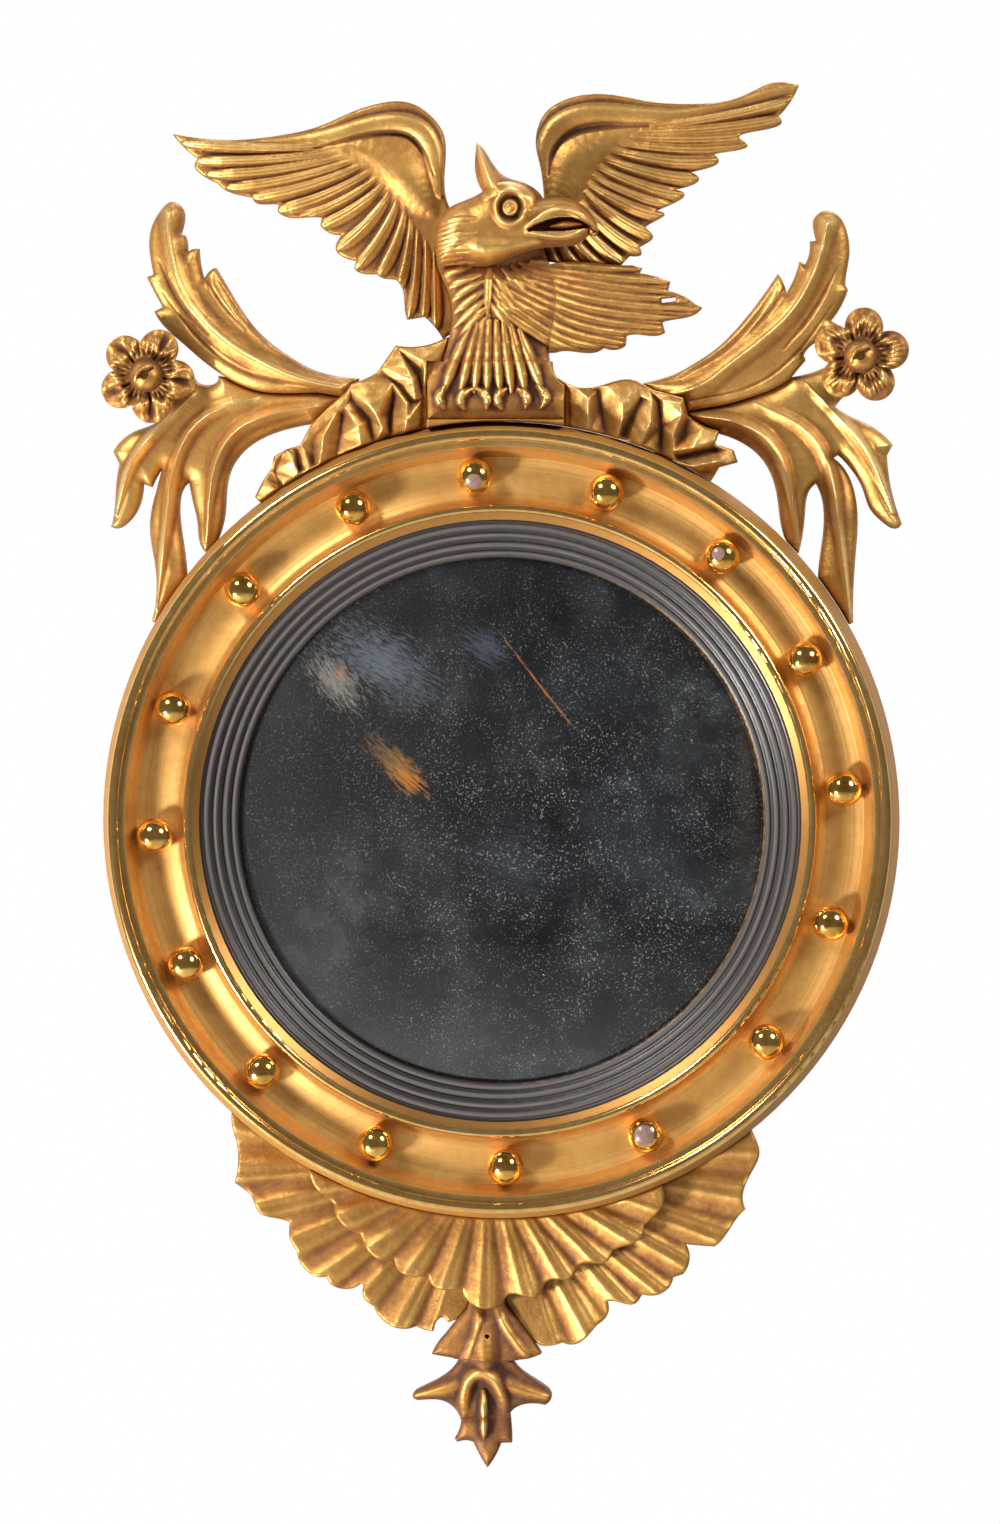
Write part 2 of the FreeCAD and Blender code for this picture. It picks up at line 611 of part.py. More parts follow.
HEAD = [
    (-15.03, 138.82),
    [(-16.1, 142.4), (-16.1, 146.69), (-15.03, 150.63), (-12.88, 153.13), (-8.94, 155.1), (-4.29, 157.42)],
    [(-5.9, 161), (-6.19, 165.3), (-5.72, 169.59)],
    [(-3.94, 167.8), (-0.72, 162.97), (2.15, 160.82), (5.01, 159.93), (7.87, 158.68), (10.73, 155.81)],
    [(13.24, 155.78), (16.46, 155.64), (19.68, 154.56), (22.54, 152.42), (24.33, 149.19), (24.51, 147.05)],
    [(22.54, 148.3)],
    [(21.82, 145.97), (19.68, 144.36), (16.1, 143.65), (10.73, 143.29), (6.44, 142.22), (1.79, 140.43),
     (-2.15, 139), (-7.87, 139.18)],
]
MOUTH = [
    (7.16, 147.41),
    [(9.3, 150.09), (11.81, 151.88), (14.67, 152.59), (17.89, 152.06), (20.39, 150.63), (22.18, 148.66)],
    [(18.6, 147.05), (15.03, 146.4), (11.45, 146.87), (7.16, 147.41)],
]
EYE = (2.86, 153.13)
EYE_RADIUS = 11.0
LEGS = [(-18.25, 91.23), [(-18.25, 115.03)], [(12.88, 115.03)], [(13.24, 112.34), (16.1, 109.12)],
        [(16.1, 91.23)]]
TRUNK = (  # height, middle and half width in hundredths of the frame, half depth in mm
    (115.1, -1.07, 13.6, 24.0), (120.21, -0.36, 12.88, 31.0), (125.94, 0.72, 12.88, 34.0),
    (132.38, 0.36, 13.6, 33.0), (138.82, -1.79, 14.31, 28.0), (145.26, -2.86, 13.24, 24.0),
    (151.7, -2.86, 8.59, 14.0))
TRUNK_DEPTH = 26.0
BREAST_RIBS = (-9.66, -6.44, -3.22, 0, 3.22, 6.44, 9.66)
BREAST_RIB_HEIGHTS = (143.11, 137.39, 130.95, 124.51, 118.07)
LEFT_FEATHERS = (
    ((-53.67, 167.8), (-79.79, 170.3)), ((-45.8, 166.01), (-74.78, 164.22)), ((-40.07, 166.01),
                                                                              (-70.13, 161)),
    ((-35.78, 165.65), (-65.83, 158.14)), ((-32.92, 164.94), (-60.47, 155.81)), ((-30.41, 163.51),
                                                                                 (-53.67, 152.95)),
    ((-28.62, 161.72), (-42.93, 149.55)), ((-26.83, 159.57), (-38.64, 143.83)), ((-25.4, 156.71),
                                                                                 (-34.7, 139.18)),
    ((-23.97, 153.85), (-29.34, 137.75)), ((-22.18, 150.27), (-23.26, 128.09)), ((-18.96, 147.41),
                                                                                 (-20.04, 128.09)),
                                                                                 ((-16.46, 143.11),
                                                                                  (-15.74, 123.79)))
RIGHT_FEATHERS = (
    ((39.36, 176.03), (71.56, 182.47)), ((33.99, 173.17), (67.98, 174.96)), ((28.62, 170.66),
                                                                             (59.39, 169.59)),
                                                                             ((25.76, 168.16),
                                                                              (52.24, 165.47)),
    ((25.04, 165.3), (47.23, 160.64)), ((24.33, 162.79), (43.29, 156.53)), ((23.61, 159.93),
                                                                            (38.64, 152.06)),
                                                                            ((22.54, 157.07),
                                                                             (35.42, 146.33)),
    ((22.9, 153.13), (33.27, 143.11)))
TAIL_FEATHERS = (
    ((12.88, 134.88), (33.27, 138.1)), ((12.88, 133.45), (40.07, 134.53)), ((12.88, 131.31),
                                                                            (44.72, 131.31)),
                                                                            ((12.88, 129.16),
                                                                             (47.23, 128.44)),
    ((12.88, 126.65), (38.64, 123.43)), ((12.88, 124.15), (29.7, 119.86)), ((12.88, 121.65), (22.9, 118.78)))
TOES = ((-13.95, 104.83), (-9.66, 105.19), (-4.29, 105.19), (0, 105.19), (6.44, 105.19), (11.45, 105.19))
TOE_ROOT = -2.86                 # where the toes would meet


def feathered(body, feathers, width, height, base):
    ribs = [taper(a, b, width, height, base) for a, b in feathers]
    return joined(body, ribs)


def eagle_wing(outline, feathers, leading):
    """A wing board with a rib for each feather and a rolled leading edge."""
    body = plate(drawn(outline), WING_BACK, WING_FRONT)
    base = WING_FRONT - 1.0
    roll = ridge(leading, [5.0] * len(leading), [5.5] * (len(leading) - 1) + [2.0], base)
    return joined(feathered(body, feathers, 4.4, 4.6, base), [roll])


def eagle_tail():
    body = feathered(plate(drawn(TAIL), WING_BACK, TAIL_FRONT), TAIL_FEATHERS, 4.5, 4.0,
                     TAIL_FRONT - 1.0)
    (x0, z0), (x1, z1), half = TAIL_SLIT
    slot = plate(drawn([(x0, z0 - half), [(x1, z1 - half)], [(x1, z1 + half)], [(x0, z0 + half)]]), 0, 60)
    return body.cut(slot)


def eagle_head():
    """The head, with a round brow, a ringed eye, an open beak with its tongue, and a crest."""
    body = plate(drawn(HEAD), HEAD_BACK, HEAD_FRONT)
    brow = Part.makeSphere(27.0, spot(-1.79, 147.41, HEAD_FRONT - 18.0))
    brow = brow.common(Part.makeBox(200, 60, 200, Vector(-100, -HEAD_BACK - 60, 111.6 * UNIT)))
    upper = ridge([(7.87, 153.85), (13.6, 154.2), (18.96, 153.13), (23.26, 149.19)], [4, 4.2, 4, 2],
                  [6, 7, 6, 2.5], HEAD_FRONT - 1.0)
    lower = ridge([(0.72, 142.75), (8.94, 144.9), (15.03, 145.04), (21.11, 146.87)], [5, 3.4, 3, 1.5],
                  [5, 5, 4, 2], HEAD_FRONT - 1.0)
    crest = ridge([(-1.07, 160.29), (-3.58, 163.15), (-5.37, 168.16)], [5, 3.6, 1.0], [5, 4, 1.5],
                  HEAD_FRONT - 1.0)
    ex, ez = sized(EYE)
    socket = cylinder(ex, ez, HEAD_FRONT - 1, HEAD_FRONT + 7, EYE_RADIUS)
    head = joined(body, [brow, upper, lower, crest, socket])
    head = head.cut([cylinder(ex, ez, HEAD_FRONT + 4, 90, EYE_RADIUS - 2.6),
                     plate(drawn(MOUTH), HEAD_FRONT - 14.0, 90)])
    pupil = Part.makeSphere(4.2, point(ex, ez, HEAD_FRONT + 3))
    tongue = ridge([(10.73, 148.3), (16.46, 149.19), (20.39, 148.84)], [2.2, 3.2, 1.5], [4, 5, 2],
                   HEAD_FRONT - 15.0)
    return joined(head, [pupil, tongue])


def eagle_body():
    """The breast and neck, a loft through ellipses, with carved breast feathers."""
    sections = []
    for z, x, half_x, half_d in TRUNK:
        centre = spot(x, z, TRUNK_DEPTH)
        across, deep = Vector(half_x * UNIT, 0, 0), Vector(0, half_d, 0)
        if half_d > half_x * UNIT:
            across, deep = deep, across
        ellipse = Part.Ellipse(centre + across, centre + deep, centre)
        sections.append(Part.Wire([ellipse.toShape()]))
    trunk = Part.makeLoft(sections, True, False)
    ribs = []
    for across in BREAST_RIBS:
        line, heights = [], []
        for z in BREAST_RIB_HEIGHTS:
            x, surface = breast_surface(across, z)
            line.append((x, z))
            heights.append(surface - TRUNK_DEPTH + 2.5)
        ribs.append(ridge(line, [2.5, 6.0, 8.0, 8.0, 5.0], heights, TRUNK_DEPTH))
    behind_wall_gap = Part.makeBox(200, 100, 300, Vector(-100, -WALL_GAP, RING_OUTER_RADIUS - 30))
    return joined(trunk, ribs).cut(behind_wall_gap)


def breast_surface(across, z):
    """The x and the depth of the breast's front face at a height, for a distance from its middle."""
    for low, high in zip(TRUNK, TRUNK[1:]):
        if low[0] <= z <= high[0]:
            t = (z - low[0]) / (high[0] - low[0])
            middle, half_x, half_d = (low[k] + (high[k] - low[k]) * t for k in (1, 2, 3))
            return middle + across, TRUNK_DEPTH + half_d * math.sqrt(max(1 - (across / half_x) ** 2, 0.05))
    raise ValueError("no breast at this height")


def eagle_legs():
    """The lower block: feathered legs, six toes and the plinth that they grip."""
    body = plate(drawn(LEGS), WALL_GAP, PLINTH_FRONT)
    ribs = []
    for x, z in TOES:
        across = x - TOE_ROOT
        line = [(TOE_ROOT + across * 0.62, 114.67), (TOE_ROOT + across * 0.9, 109.48), (x, z)]
        ribs.append(ridge(line, [4.2, 4.4, 3.4], [11, 10, 7], PLINTH_FRONT - 1.0))
        ribs.append(Part.makeSphere(3.6, spot(x, z, PLINTH_FRONT + 2.0)))
    return joined(body, ribs)


def plinth_strip():
    """The thin gilt strip between the plinth and the frame."""
    top = PLINTH_STRIP_TOP
    outline = [(-18.25, 91.23), [(-18.25, top)], [(16.1, top)], [(16.1, 91.23)]]
    return plate(drawn(outline), WALL_GAP, PLINTH_STRIP_FRONT)


# ---------------------------------------------------------------- the rockwork, leaves and flowers
ROCK_LEFT = [
    (-61.54, 81.22), [(-59.39, 85.33)], [(-57.25, 88.37)], [(-56.71, 91.23)], [(-53.67, 93.02)],
    [(-50.09, 94.1)], [(-47.58, 99.11)],
    [(-42.93, 103.76)], [(-38.64, 107.33)], [(-37.21, 109.48)], [(-32.92, 111.09), (-30.77, 112.34)],
    [(-27.55, 116.99)], [(-26.12, 119.03)],
    [(-18.6, 119.03), (-13.6, 120.93)], [(-10.73, 121.65)], [(-17.89, 89.45)], [(-53.67, 71.56)]]
ROCK_RIGHT = [
    (14.31, 89.45), [(14.31, 110.91)], [(16.46, 109.66), (19.32, 108.52), (22.18, 108.41), (25.76, 109.12),
                                        (28.62, 110.02), (32.2, 110.55), (35.42, 109.48)],
    [(38.64, 107.69)], [(45.8, 105.9)], [(46.87, 101.61)], [(50.09, 99.28), (54.74, 97.67)],
    [(53.67, 94.45)], [(58.32, 92.84)],
    [(59.39, 89.8)], [(54.74, 88.55)], [(52.24, 84.44)], [(42.93, 78.71)]]
ROCK_RIDGES_LEFT = (
    ((-52.95, 91.95), (-50.45, 86.23)), ((-58.32, 85.51), (-55.81, 82.65)), ((-41.86, 101.97),
                                                                             (-45.08, 90.16)),
                                                                             ((-38.28, 102.33),
                                                                              (-34.7, 95.17)),
    ((-35.42, 107.69), (-30.05, 99.11)), ((-29.34, 111.99), (-23.61, 97.67)), ((-25.04, 116.64),
                                                                               (-21.47, 106.62)))
ROCK_RIDGES_RIGHT = (
    ((22.18, 106.62), (22.54, 98.75)), ((27.91, 108.41), (29.7, 97.32)), ((36.14, 107.33), (30.77, 97.32)),
    ((37.92, 105.19), (35.42, 94.45)),
    ((44.72, 104.47), (42.93, 93.02)), ((52.95, 97.32), (44.36, 94.1)), ((57.6, 90.88), (45.8, 91.59)))
LEAF_LEFT = [
    (-35.78, 110.91),
    [(-40.07, 111.27), (-43.29, 111.88), (-47.23, 113.06), (-53.67, 116.64), (-59.03, 120.57),
     (-64.4, 126.65), (-68.69, 133.45), (-71.91, 138.82)],
    [(-73.35, 137.75), (-74.78, 135.78)],
    [(-75.85, 140.61), (-76.03, 143.47)],
    [(-77.64, 143.29), (-79.07, 142.4)],
    [(-79.07, 145.26), (-79.61, 146.87)],
    [(-80.68, 147.23)],
    [(-79.79, 150.27), (-80.14, 153.49), (-82.65, 155.28), (-85.51, 153.13), (-87.66, 149.55),
     (-88.55, 144.54), (-88.01, 139.89), (-87.48, 137.03)],
    [(-89.09, 136.31)],
    [(-87.66, 133.45), (-85.15, 128.8)],
    [(-87.3, 127.73)],
    [(-84.79, 123.97), (-80.5, 120.04), (-76.21, 116.28), (-71.56, 112.7), (-66.55, 109.66),
     (-60.82, 107.69), (-53.67, 107.16),
     (-45.8, 107.33)],
    [(-37.57, 105.9)],
]
LEAF_RIGHT = [
    (35.06, 109.48),
    [(39.36, 110.55), (42.93, 111.63), (48.3, 114.49), (53.67, 118.07), (59.03, 123.26), (64.4, 129.87),
     (69.41, 137.03)],
    [(70.48, 135.24), (71.56, 132.2)],
    [(72.99, 134.88), (74.78, 140.07)],
    [(76.21, 139.36)],
    [(77.1, 141.68), (77.28, 145.08)],
    [(78.89, 145.26)],
    [(78.18, 148.12), (78.18, 150.27), (81.22, 152.77), (84.44, 151.52), (86.76, 147.05), (87.3, 142.4),
     (86.4, 136.31), (86.23, 134.17)],
    [(86.94, 133.09)],
    [(85.15, 128.8), (82.65, 125.22)],
    [(84.26, 124.33)],
    [(83.36, 122.9), (79.43, 120.21), (75.85, 116.64)],
    [(76.39, 115.38)],
    [(74.06, 112.7), (72.45, 110.73)],
    [(67.98, 108.05), (62.61, 106.08), (57.25, 104.47), (52.24, 103.58)],
    [(45.08, 102.33)],
    [(37.57, 106.62)],
]
LEAF_SPINE_LEFT = ((-44.72, 109.12), (-57.25, 111.63), (-67.98, 119.86), (-76.92, 130.59), (-83.01, 141.32),
    (-84.44, 150.27))
LEAF_SPINE_RIGHT = ((44.72, 107.33), (55.46, 110.2), (65.12, 117.35), (74.42, 128.09), (81.57, 139.53),
    (82.65, 147.76))
BRACKET_LEFT = [
    (-37.57, 105.9),
    [(-45.8, 108.77)],
    [(-53.67, 108.41), (-61.54, 109.12), (-67.98, 110.91), (-71.38, 111.63)],
    [(-71.91, 109.84), (-74.06, 109.3), (-76.57, 110.02)],
    [(-79.43, 113.06), (-84.08, 116.28)],
    [(-89.45, 116.28), (-92.31, 112.34), (-90.16, 108.05)],
    [(-87.3, 105.9), (-85.15, 103.04)],
    [(-86.58, 100.18), (-92.31, 97.67), (-95.89, 95.17), (-97.85, 92.49)],
    [(-96.24, 89.45)],
    [(-96.78, 86.94), (-97.32, 80.5), (-98.39, 73.7)],
    [(-96.96, 73.17), (-93.74, 74.96), (-91.41, 78.35), (-90.16, 84.44)],
    [(-88.01, 83.54)],
    [(-86.94, 85.87), (-85.51, 88.37)],
    [(-86.94, 83.01), (-88.37, 76.92), (-88.55, 71.56), (-87.48, 65.12), (-86.94, 57.25), (-88.19, 50.09)],
    [(-86.94, 49.37), (-85.87, 51.52)],
    [(-81.93, 55.81), (-79.25, 60.11)],
    [(-79.43, 64.4), (-80.68, 73.35), (-81.04, 78.71), (-80.14, 83.01), (-78.71, 84.79)],
    [(-77.64, 79.43), (-76.57, 74.42), (-75.67, 68.69), (-74.42, 67.08)],
    [(-72.63, 68.52), (-70.66, 72.27), (-69.59, 76.92), (-69.23, 82.29), (-67.98, 88.01), (-64.76, 92.67),
     (-60.11, 95.89),
     (-54.38, 98.03), (-45.8, 99.82)],
    [(-37.57, 101.61)],
]
BRACKET_RIGHT = [
    (45.08, 104.47),
    [(57.25, 106.62), (64.4, 108.05), (72.45, 111.09)],
    [(76.57, 111.99), (81.57, 113.77)],
    [(85.15, 119.5)],
    [(90.88, 120.21), (94.45, 115.92), (92.31, 111.27)],
    [(86.94, 107.33), (83.72, 103.76)],
    [(87.3, 101.43), (92.31, 99.11), (95.89, 96.6), (98.21, 94.1)],
    [(96.78, 91.59)],
    [(97.32, 85.87), (98.75, 79.43), (100.54, 74.42)],
    [(99.11, 73.17), (95.17, 75.13), (92.31, 78.35), (90.52, 83.36), (88.01, 87.66), (84.44, 91.59)],
    [(83.36, 90.88)],
    [(86.23, 88.01), (88.73, 81.93), (89.45, 74.42), (88.91, 66.19), (88.37, 57.25), (88.37, 49.73)],
    [(87.3, 49.19), (86.23, 50.45)],
    [(83.36, 55.1), (79.43, 60.82)],
    [(80.14, 67.98), (80.86, 74.42), (80.5, 80.14), (78.89, 84.44)],
    [(77.28, 82.65), (76.21, 76.92), (75.31, 69.77), (74.6, 66.91)],
    [(72.63, 68.34), (70.48, 72.63), (69.41, 79.43), (67.98, 85.87), (65.12, 90.88), (60.11, 94.81),
     (54.38, 96.96)],
    [(45.08, 97.32)],
]
TENDRILS_LEFT = (
    ((-53.67, 103.76), (-67.98, 100.18), (-72.63, 89.45), (-74.06, 70.84)),
    ((-67.98, 103.76), (-79.43, 95.89), (-84.08, 80.5), (-84.44, 59.03)),
    ((-73.35, 105.9), (-85.87, 95.89), (-92.67, 87.66), (-95.89, 76.57)))
TENDRILS_RIGHT = (
    ((55.46, 100.18), (67.98, 96.6), (72.63, 85.87), (73.7, 70.84)),
    ((66.19, 103.04), (79.43, 93.74), (85.15, 79.43), (85.15, 59.03)),
    ((71.56, 107.33), (85.87, 98.39), (93.02, 88.73), (97.32, 77.28)))
FLOWERS = {"left": (-88.73, 111.63, 98.0), "right": (90.16, 116.28, 78.0)}   # place and first petal's angle
PETAL_COUNT = 5
PETAL_RING_RADIUS = 20.5
PETAL_RADIUS = 13.5
BUTTON_DOME_RADIUS = 12.0
FLOWER_PIN_RADIUS = 3.0


def rockwork(outline, ridges):
    """A facetted rock that stands on the frame beside the plinth."""
    body = plate(drawn(outline), WALL_GAP, ROCK_FRONT)
    facets = []
    for a, b in ridges:
        facets.append(ridge((a, b), [5.5, 4.5], [7.5, 5.0], ROCK_FRONT - 1.0))
    return joined(body, facets)


def crest_leaf(outline, spine):
    """The upper leaf: a board with toothed edges and a raised mid rib."""
    body = plate(drawn(outline), WALL_GAP, LEAF_FRONT)
    rib = ridge(spine, [5, 8, 9, 8, 6, 3], [4, 8, 9, 8, 6, 2], LEAF_FRONT - 1.0)
    return joined(body, [rib])


def bracket(outline, tendrils):
    """The lower leaf, which divides into three hanging tendrils."""
    body = plate(drawn(outline), WALL_GAP, BRACKET_FRONT)
    ribs = [ridge(line, [4, 6, 6, 3], [4, 7, 7, 3], BRACKET_FRONT - 1.0) for line in tendrils]
    return joined(body, ribs)


def flower(side):
    """A flower head of dished petals, bored for its pin."""
    x, z = sized(FLOWERS[side][:2])
    first = FLOWERS[side][2]
    back, front = FLOWER_BACK, FLOWER_BACK + FLOWER_THICKNESS
    petals = []
    dishes = []
    for i in range(PETAL_COUNT):
        px, pz = polar(PETAL_RING_RADIUS, first + 360.0 * i / PETAL_COUNT)
        petals.append(cylinder(x + px, z + pz, back, front, PETAL_RADIUS))
        dishes.append(Part.makeSphere(12.0, point(x + px * 0.95, z + pz * 0.95, front + 7.0)))
    head = joined(cylinder(x, z, back, front - 2, PETAL_RING_RADIUS), petals)
    seat = cylinder(x, z, front - 2, 90, BUTTON_DOME_RADIUS + FIT_GAP)
    return head.cut(dishes + [seat, cylinder(x, z, 0, 90, FLOWER_PIN_RADIUS + RUNNING_GAP)])


def flower_button(side):
    """The turned button in the middle of a flower, with a notch across its face."""
    x, z = sized(FLOWERS[side][:2])
    back = FLOWER_BACK + FLOWER_THICKNESS - 2.0 + GLUE_GAP
    dome = Part.makeSphere(BUTTON_DOME_RADIUS, point(x, z, back + 2.0))
    dome = dome.common(cylinder(x, z, back, back + 20, BUTTON_DOME_RADIUS))
    notch = Part.makeBox(14, 4, 2.4, Vector(-7, -4, -1.2))
    notch.rotate(Vector(0, 0, 0), Vector(0, 1, 0), -35)
    notch.translate(point(x, z, back + BUTTON_DOME_RADIUS - 0.5))
    return dome.cut([notch, cylinder(x, z, back - 1, back + 5, FLOWER_PIN_RADIUS + RUNNING_GAP)])


def flower_pin(side):
    """The dowel that carries a flower in front of its bracket."""
    x, z = sized(FLOWERS[side][:2])
    top = FLOWER_BACK + FLOWER_THICKNESS - 2.0 + GLUE_GAP + 4.5
    return cylinder(x, z, WALL_GAP + 4.0, top, FLOWER_PIN_RADIUS)


# ---------------------------------------------------------------- the apron
SHELL_HUB = (-3.58, -92.31)
SHELL_REAR_LEFT = [
    (-67.26, -71.56),
    [(-67.98, -76.21), (-66.73, -81.93), (-66.37, -85.87), (-67.26, -91.59)],
    [(-65.12, -93.2), (-62.97, -95.17), (-61.18, -98.93), (-57.25, -100.54), (-53.31, -101.61)],
    [(-53.49, -104.83), (-51.52, -108.77)],
    [(-50.45, -112.34), (-47.94, -114.67), (-44.01, -115.21)],
    [(-42.22, -117.71), (-39, -118.5), (-35.42, -116.99)],
    [(-34.7, -117.35)],
    [(-34.88, -119.86), (-32.2, -122.54)],
    [(-30.05, -126.12), (-26.48, -128.09), (-21.47, -127.73)],
    [(-19.32, -128.62), (-16.99, -128.8)],
    [(-16.64, -127.01), (-15.03, -125.4), (-13.42, -126.65)],
    [(-4.29, -123.43)],
    [(-4.29, -89.45)],
    [(-53.67, -64.4)],
]
SHELL_REAR_RIGHT = [
    (62.25, -75.13),
    [(64.04, -80.5), (64.94, -83.72), (63.33, -88.01), (61.36, -91.95), (61.36, -98.03)],
    [(58.32, -101.61), (56.17, -104.83), (53.67, -107.33)],
    [(50.09, -107.16), (46.33, -106.8)],
    [(47.41, -110.2), (45.8, -114.31)],
    [(43.29, -115.21)],
    [(41.86, -118.07), (38.64, -119.68), (35.42, -119.5)],
    [(32.2, -122), (29.34, -121.29), (26.65, -121.29)],
    [(27.01, -123.79), (24.33, -127.01)],
    [(22.18, -129.52), (19.32, -131.91), (15.38, -131.66)],
    [(12.88, -132.38), (9.84, -132.38)],
    [(-2.86, -123.43)],
    [(-2.86, -89.45)],
    [(50.09, -64.4)],
]
SHELL_FRONT = [
    (-47.94, -85.87),
    [(-47.94, -89.09)],
    [(-46.87, -91.95), (-44.36, -94.63), (-41.86, -96.6)],
    [(-41.14, -99.82), (-38.64, -102.68), (-35.24, -104.29)],
    [(-33.99, -107.33), (-31.13, -110.2), (-26.83, -110.55)],
    [(-25.04, -113.77), (-21.47, -114.74), (-18.25, -114.67)],
    [(-16.46, -117.53), (-13.24, -117.96), (-9.66, -118.07)],
    [(-8.23, -120.93), (-3.94, -122.83), (0.72, -121.29)],
    [(2.86, -119.14), (6.44, -119.75), (11.09, -116.46)],
    [(13.6, -115.38), (16.82, -115.21), (19.14, -112.34)],
    [(21.47, -111.27), (24.69, -111.27), (28.26, -108.05)],
    [(31.13, -106.98), (34.35, -105.55), (36.14, -101.61)],
    [(39, -99.11), (41.14, -95.17), (40.79, -92.31)],
    [(40.07, -85.87)],
]
FRONT_LOBES = (
    (-43.65, -92.31), (-37.57, -100.54), (-30.05, -108.41), (-21.47, -113.06), (-13.24, -116.64),
    (-3.94, -121.29), (6.44, -118.07), (15.38, -113.77),
    (23.61, -109.84), (32.2, -104.83), (38.28, -96.6))
REAR_LOBES_LEFT = (
    (-66.55, -76.92), (-65.83, -90.16), (-59.03, -98.39), (-51.16, -107.33), (-40.07, -116.28),
    (-26.83, -125.94), (-18.6, -127.01))
REAR_LOBES_RIGHT = (
    (62.97, -83.01), (60.11, -95.89), (53.67, -104.83), (45.44, -111.63), (38.28, -117.71), (30.41, -119.86),
    (23.26, -125.94), (13.6, -129.87))
COLLAR = [
    (-7.16, -93.74),
    [(-7.87, -120.93)],
    [(-10.73, -125.94), (-14.13, -129.52), (-17.53, -134.63)],
    [(-14.31, -134.99), (-10.73, -135.78)],
    [(2.86, -135.96)],
    [(6.44, -135.71), (10.2, -134.42)],
    [(7.87, -130.95), (4.29, -126.3), (1.07, -121.65)],
    [(0, -93.74)],
]
HUSK = [
    (-10.73, -135.85),
    [(-13.24, -139.18), (-17.17, -141.68), (-21.47, -143.83)],
    [(-22.36, -145.26), (-21.11, -146.33)],
    [(-17.89, -146.08), (-15.03, -146.33), (-11.81, -148.3), (-10.2, -151.34)],
    [(2.15, -149.55)],
    [(4.29, -147.76), (7.16, -147.05), (11.09, -147.41)],
    [(12.7, -145.26), (11.81, -143.29)],
    [(7.87, -140.61), (4.65, -138.28), (2.86, -136.03)],
]
DROP = [
    (-10.13, -151.41),
    [(-10.55, -153.49), (-11.81, -155.99)],
    [(-11.09, -156.89)],
    [(-8.94, -156.46), (-6.98, -156.89)],
    [(-5.37, -160.29), (-3.51, -163.33)],
    [(-1.43, -160.29), (0, -157.07)],
    [(2.68, -156.96)],
    [(2.61, -153.85), (2.15, -149.62)],
]


def fluted(outline, lobes, back, front, rib_height):
    """A shell board with a rib from its hub to each lobe of its edge."""
    body = plate(drawn(outline), back, front)
    hx, hz = SHELL_HUB
    ribs = []
    for x, z in lobes:
        line = [(hx + (x - hx) * t, hz + (z - hz) * t) for t in (0.3, 0.65, 0.97)]
        ribs.append(ridge(line, [2.5, 6.0, 8.0], [rib_height * s for s in (0.3, 0.8, 1.0)], front - 1.0))
    return joined(body, ribs)


def collar():
    """The stem of the pendant: flat behind the shell, then a flared leaf."""
    stem = plate(drawn(COLLAR), WALL_GAP, SHELL_REAR_FRONT)
    leaf = [(-8.59, -123.15), [(-14.13, -129.52), (-17.53, -134.63)], [(-10.73, -135.78)], [(2.86, -135.96)],
            [(10.2, -134.42)],
            [(4.29, -126.3), (1.79, -123.15)]]
    front = plate(drawn(leaf), WALL_GAP, PENDANT_FRONT)
    rib = ridge([(-3.76, -123.79), (-3.76, -129.52), (-3.76, -135.24)], [8, 10, 12], [3, 6, 7],
                PENDANT_FRONT - 1.0)
    return joined(stem, [front, rib])


def husk():
    """The winged husk with a hood over its pistil."""
    body = plate(drawn(HUSK), WALL_GAP, PENDANT_FRONT)
    hood = Part.makeSphere(14.5, spot(-3.94, -140.25, PENDANT_FRONT + 2.0))
    hood = hood.common(Part.makeBox(60, 60, 34, Vector(-40, -PENDANT_FRONT - 59, -144.5 * UNIT)))
    wings = [ridge([(-6.44, -142.4), (-14.31, -143.83), (-20.75, -145.08)], [8, 5, 2], [7, 6, 2],
                   PENDANT_FRONT - 1.0),
             ridge([(-1.43, -142.4), (6.44, -143.83), (11.45, -145.26)], [8, 5, 2], [7, 6, 2],
                   PENDANT_FRONT - 1.0)]
    return joined(body, [hood] + wings)


def drop():
    """The pointed leaf at the foot, with the pistil on it."""
    body = plate(drawn(DROP), WALL_GAP, PENDANT_FRONT - 4.0)
    pistil = ridge([(-3.94, -151.7), (-4.11, -153.85), (-4.29, -155.99)], [3.0, 3.0, 1.5], [6, 5, 2],
                   PENDANT_FRONT - 5.0)
    return joined(body, [pistil])


# ---------------------------------------------------------------- the assembly
LEADING_LEFT = ((-16.1, 157.42), (-16.46, 168.16), (-18.96, 174.6), (-25.04, 178.18), (-35.78, 176.39),
    (-50.09, 171.56), (-64.4, 169.59), (-76.92, 170.3))
LEADING_RIGHT = ((12.16, 161), (10.55, 169.95), (13.24, 176.39), (21.47, 179.96), (33.99, 178.89),
    (48.3, 177.82), (59.03, 179.25), (69.77, 182.83))


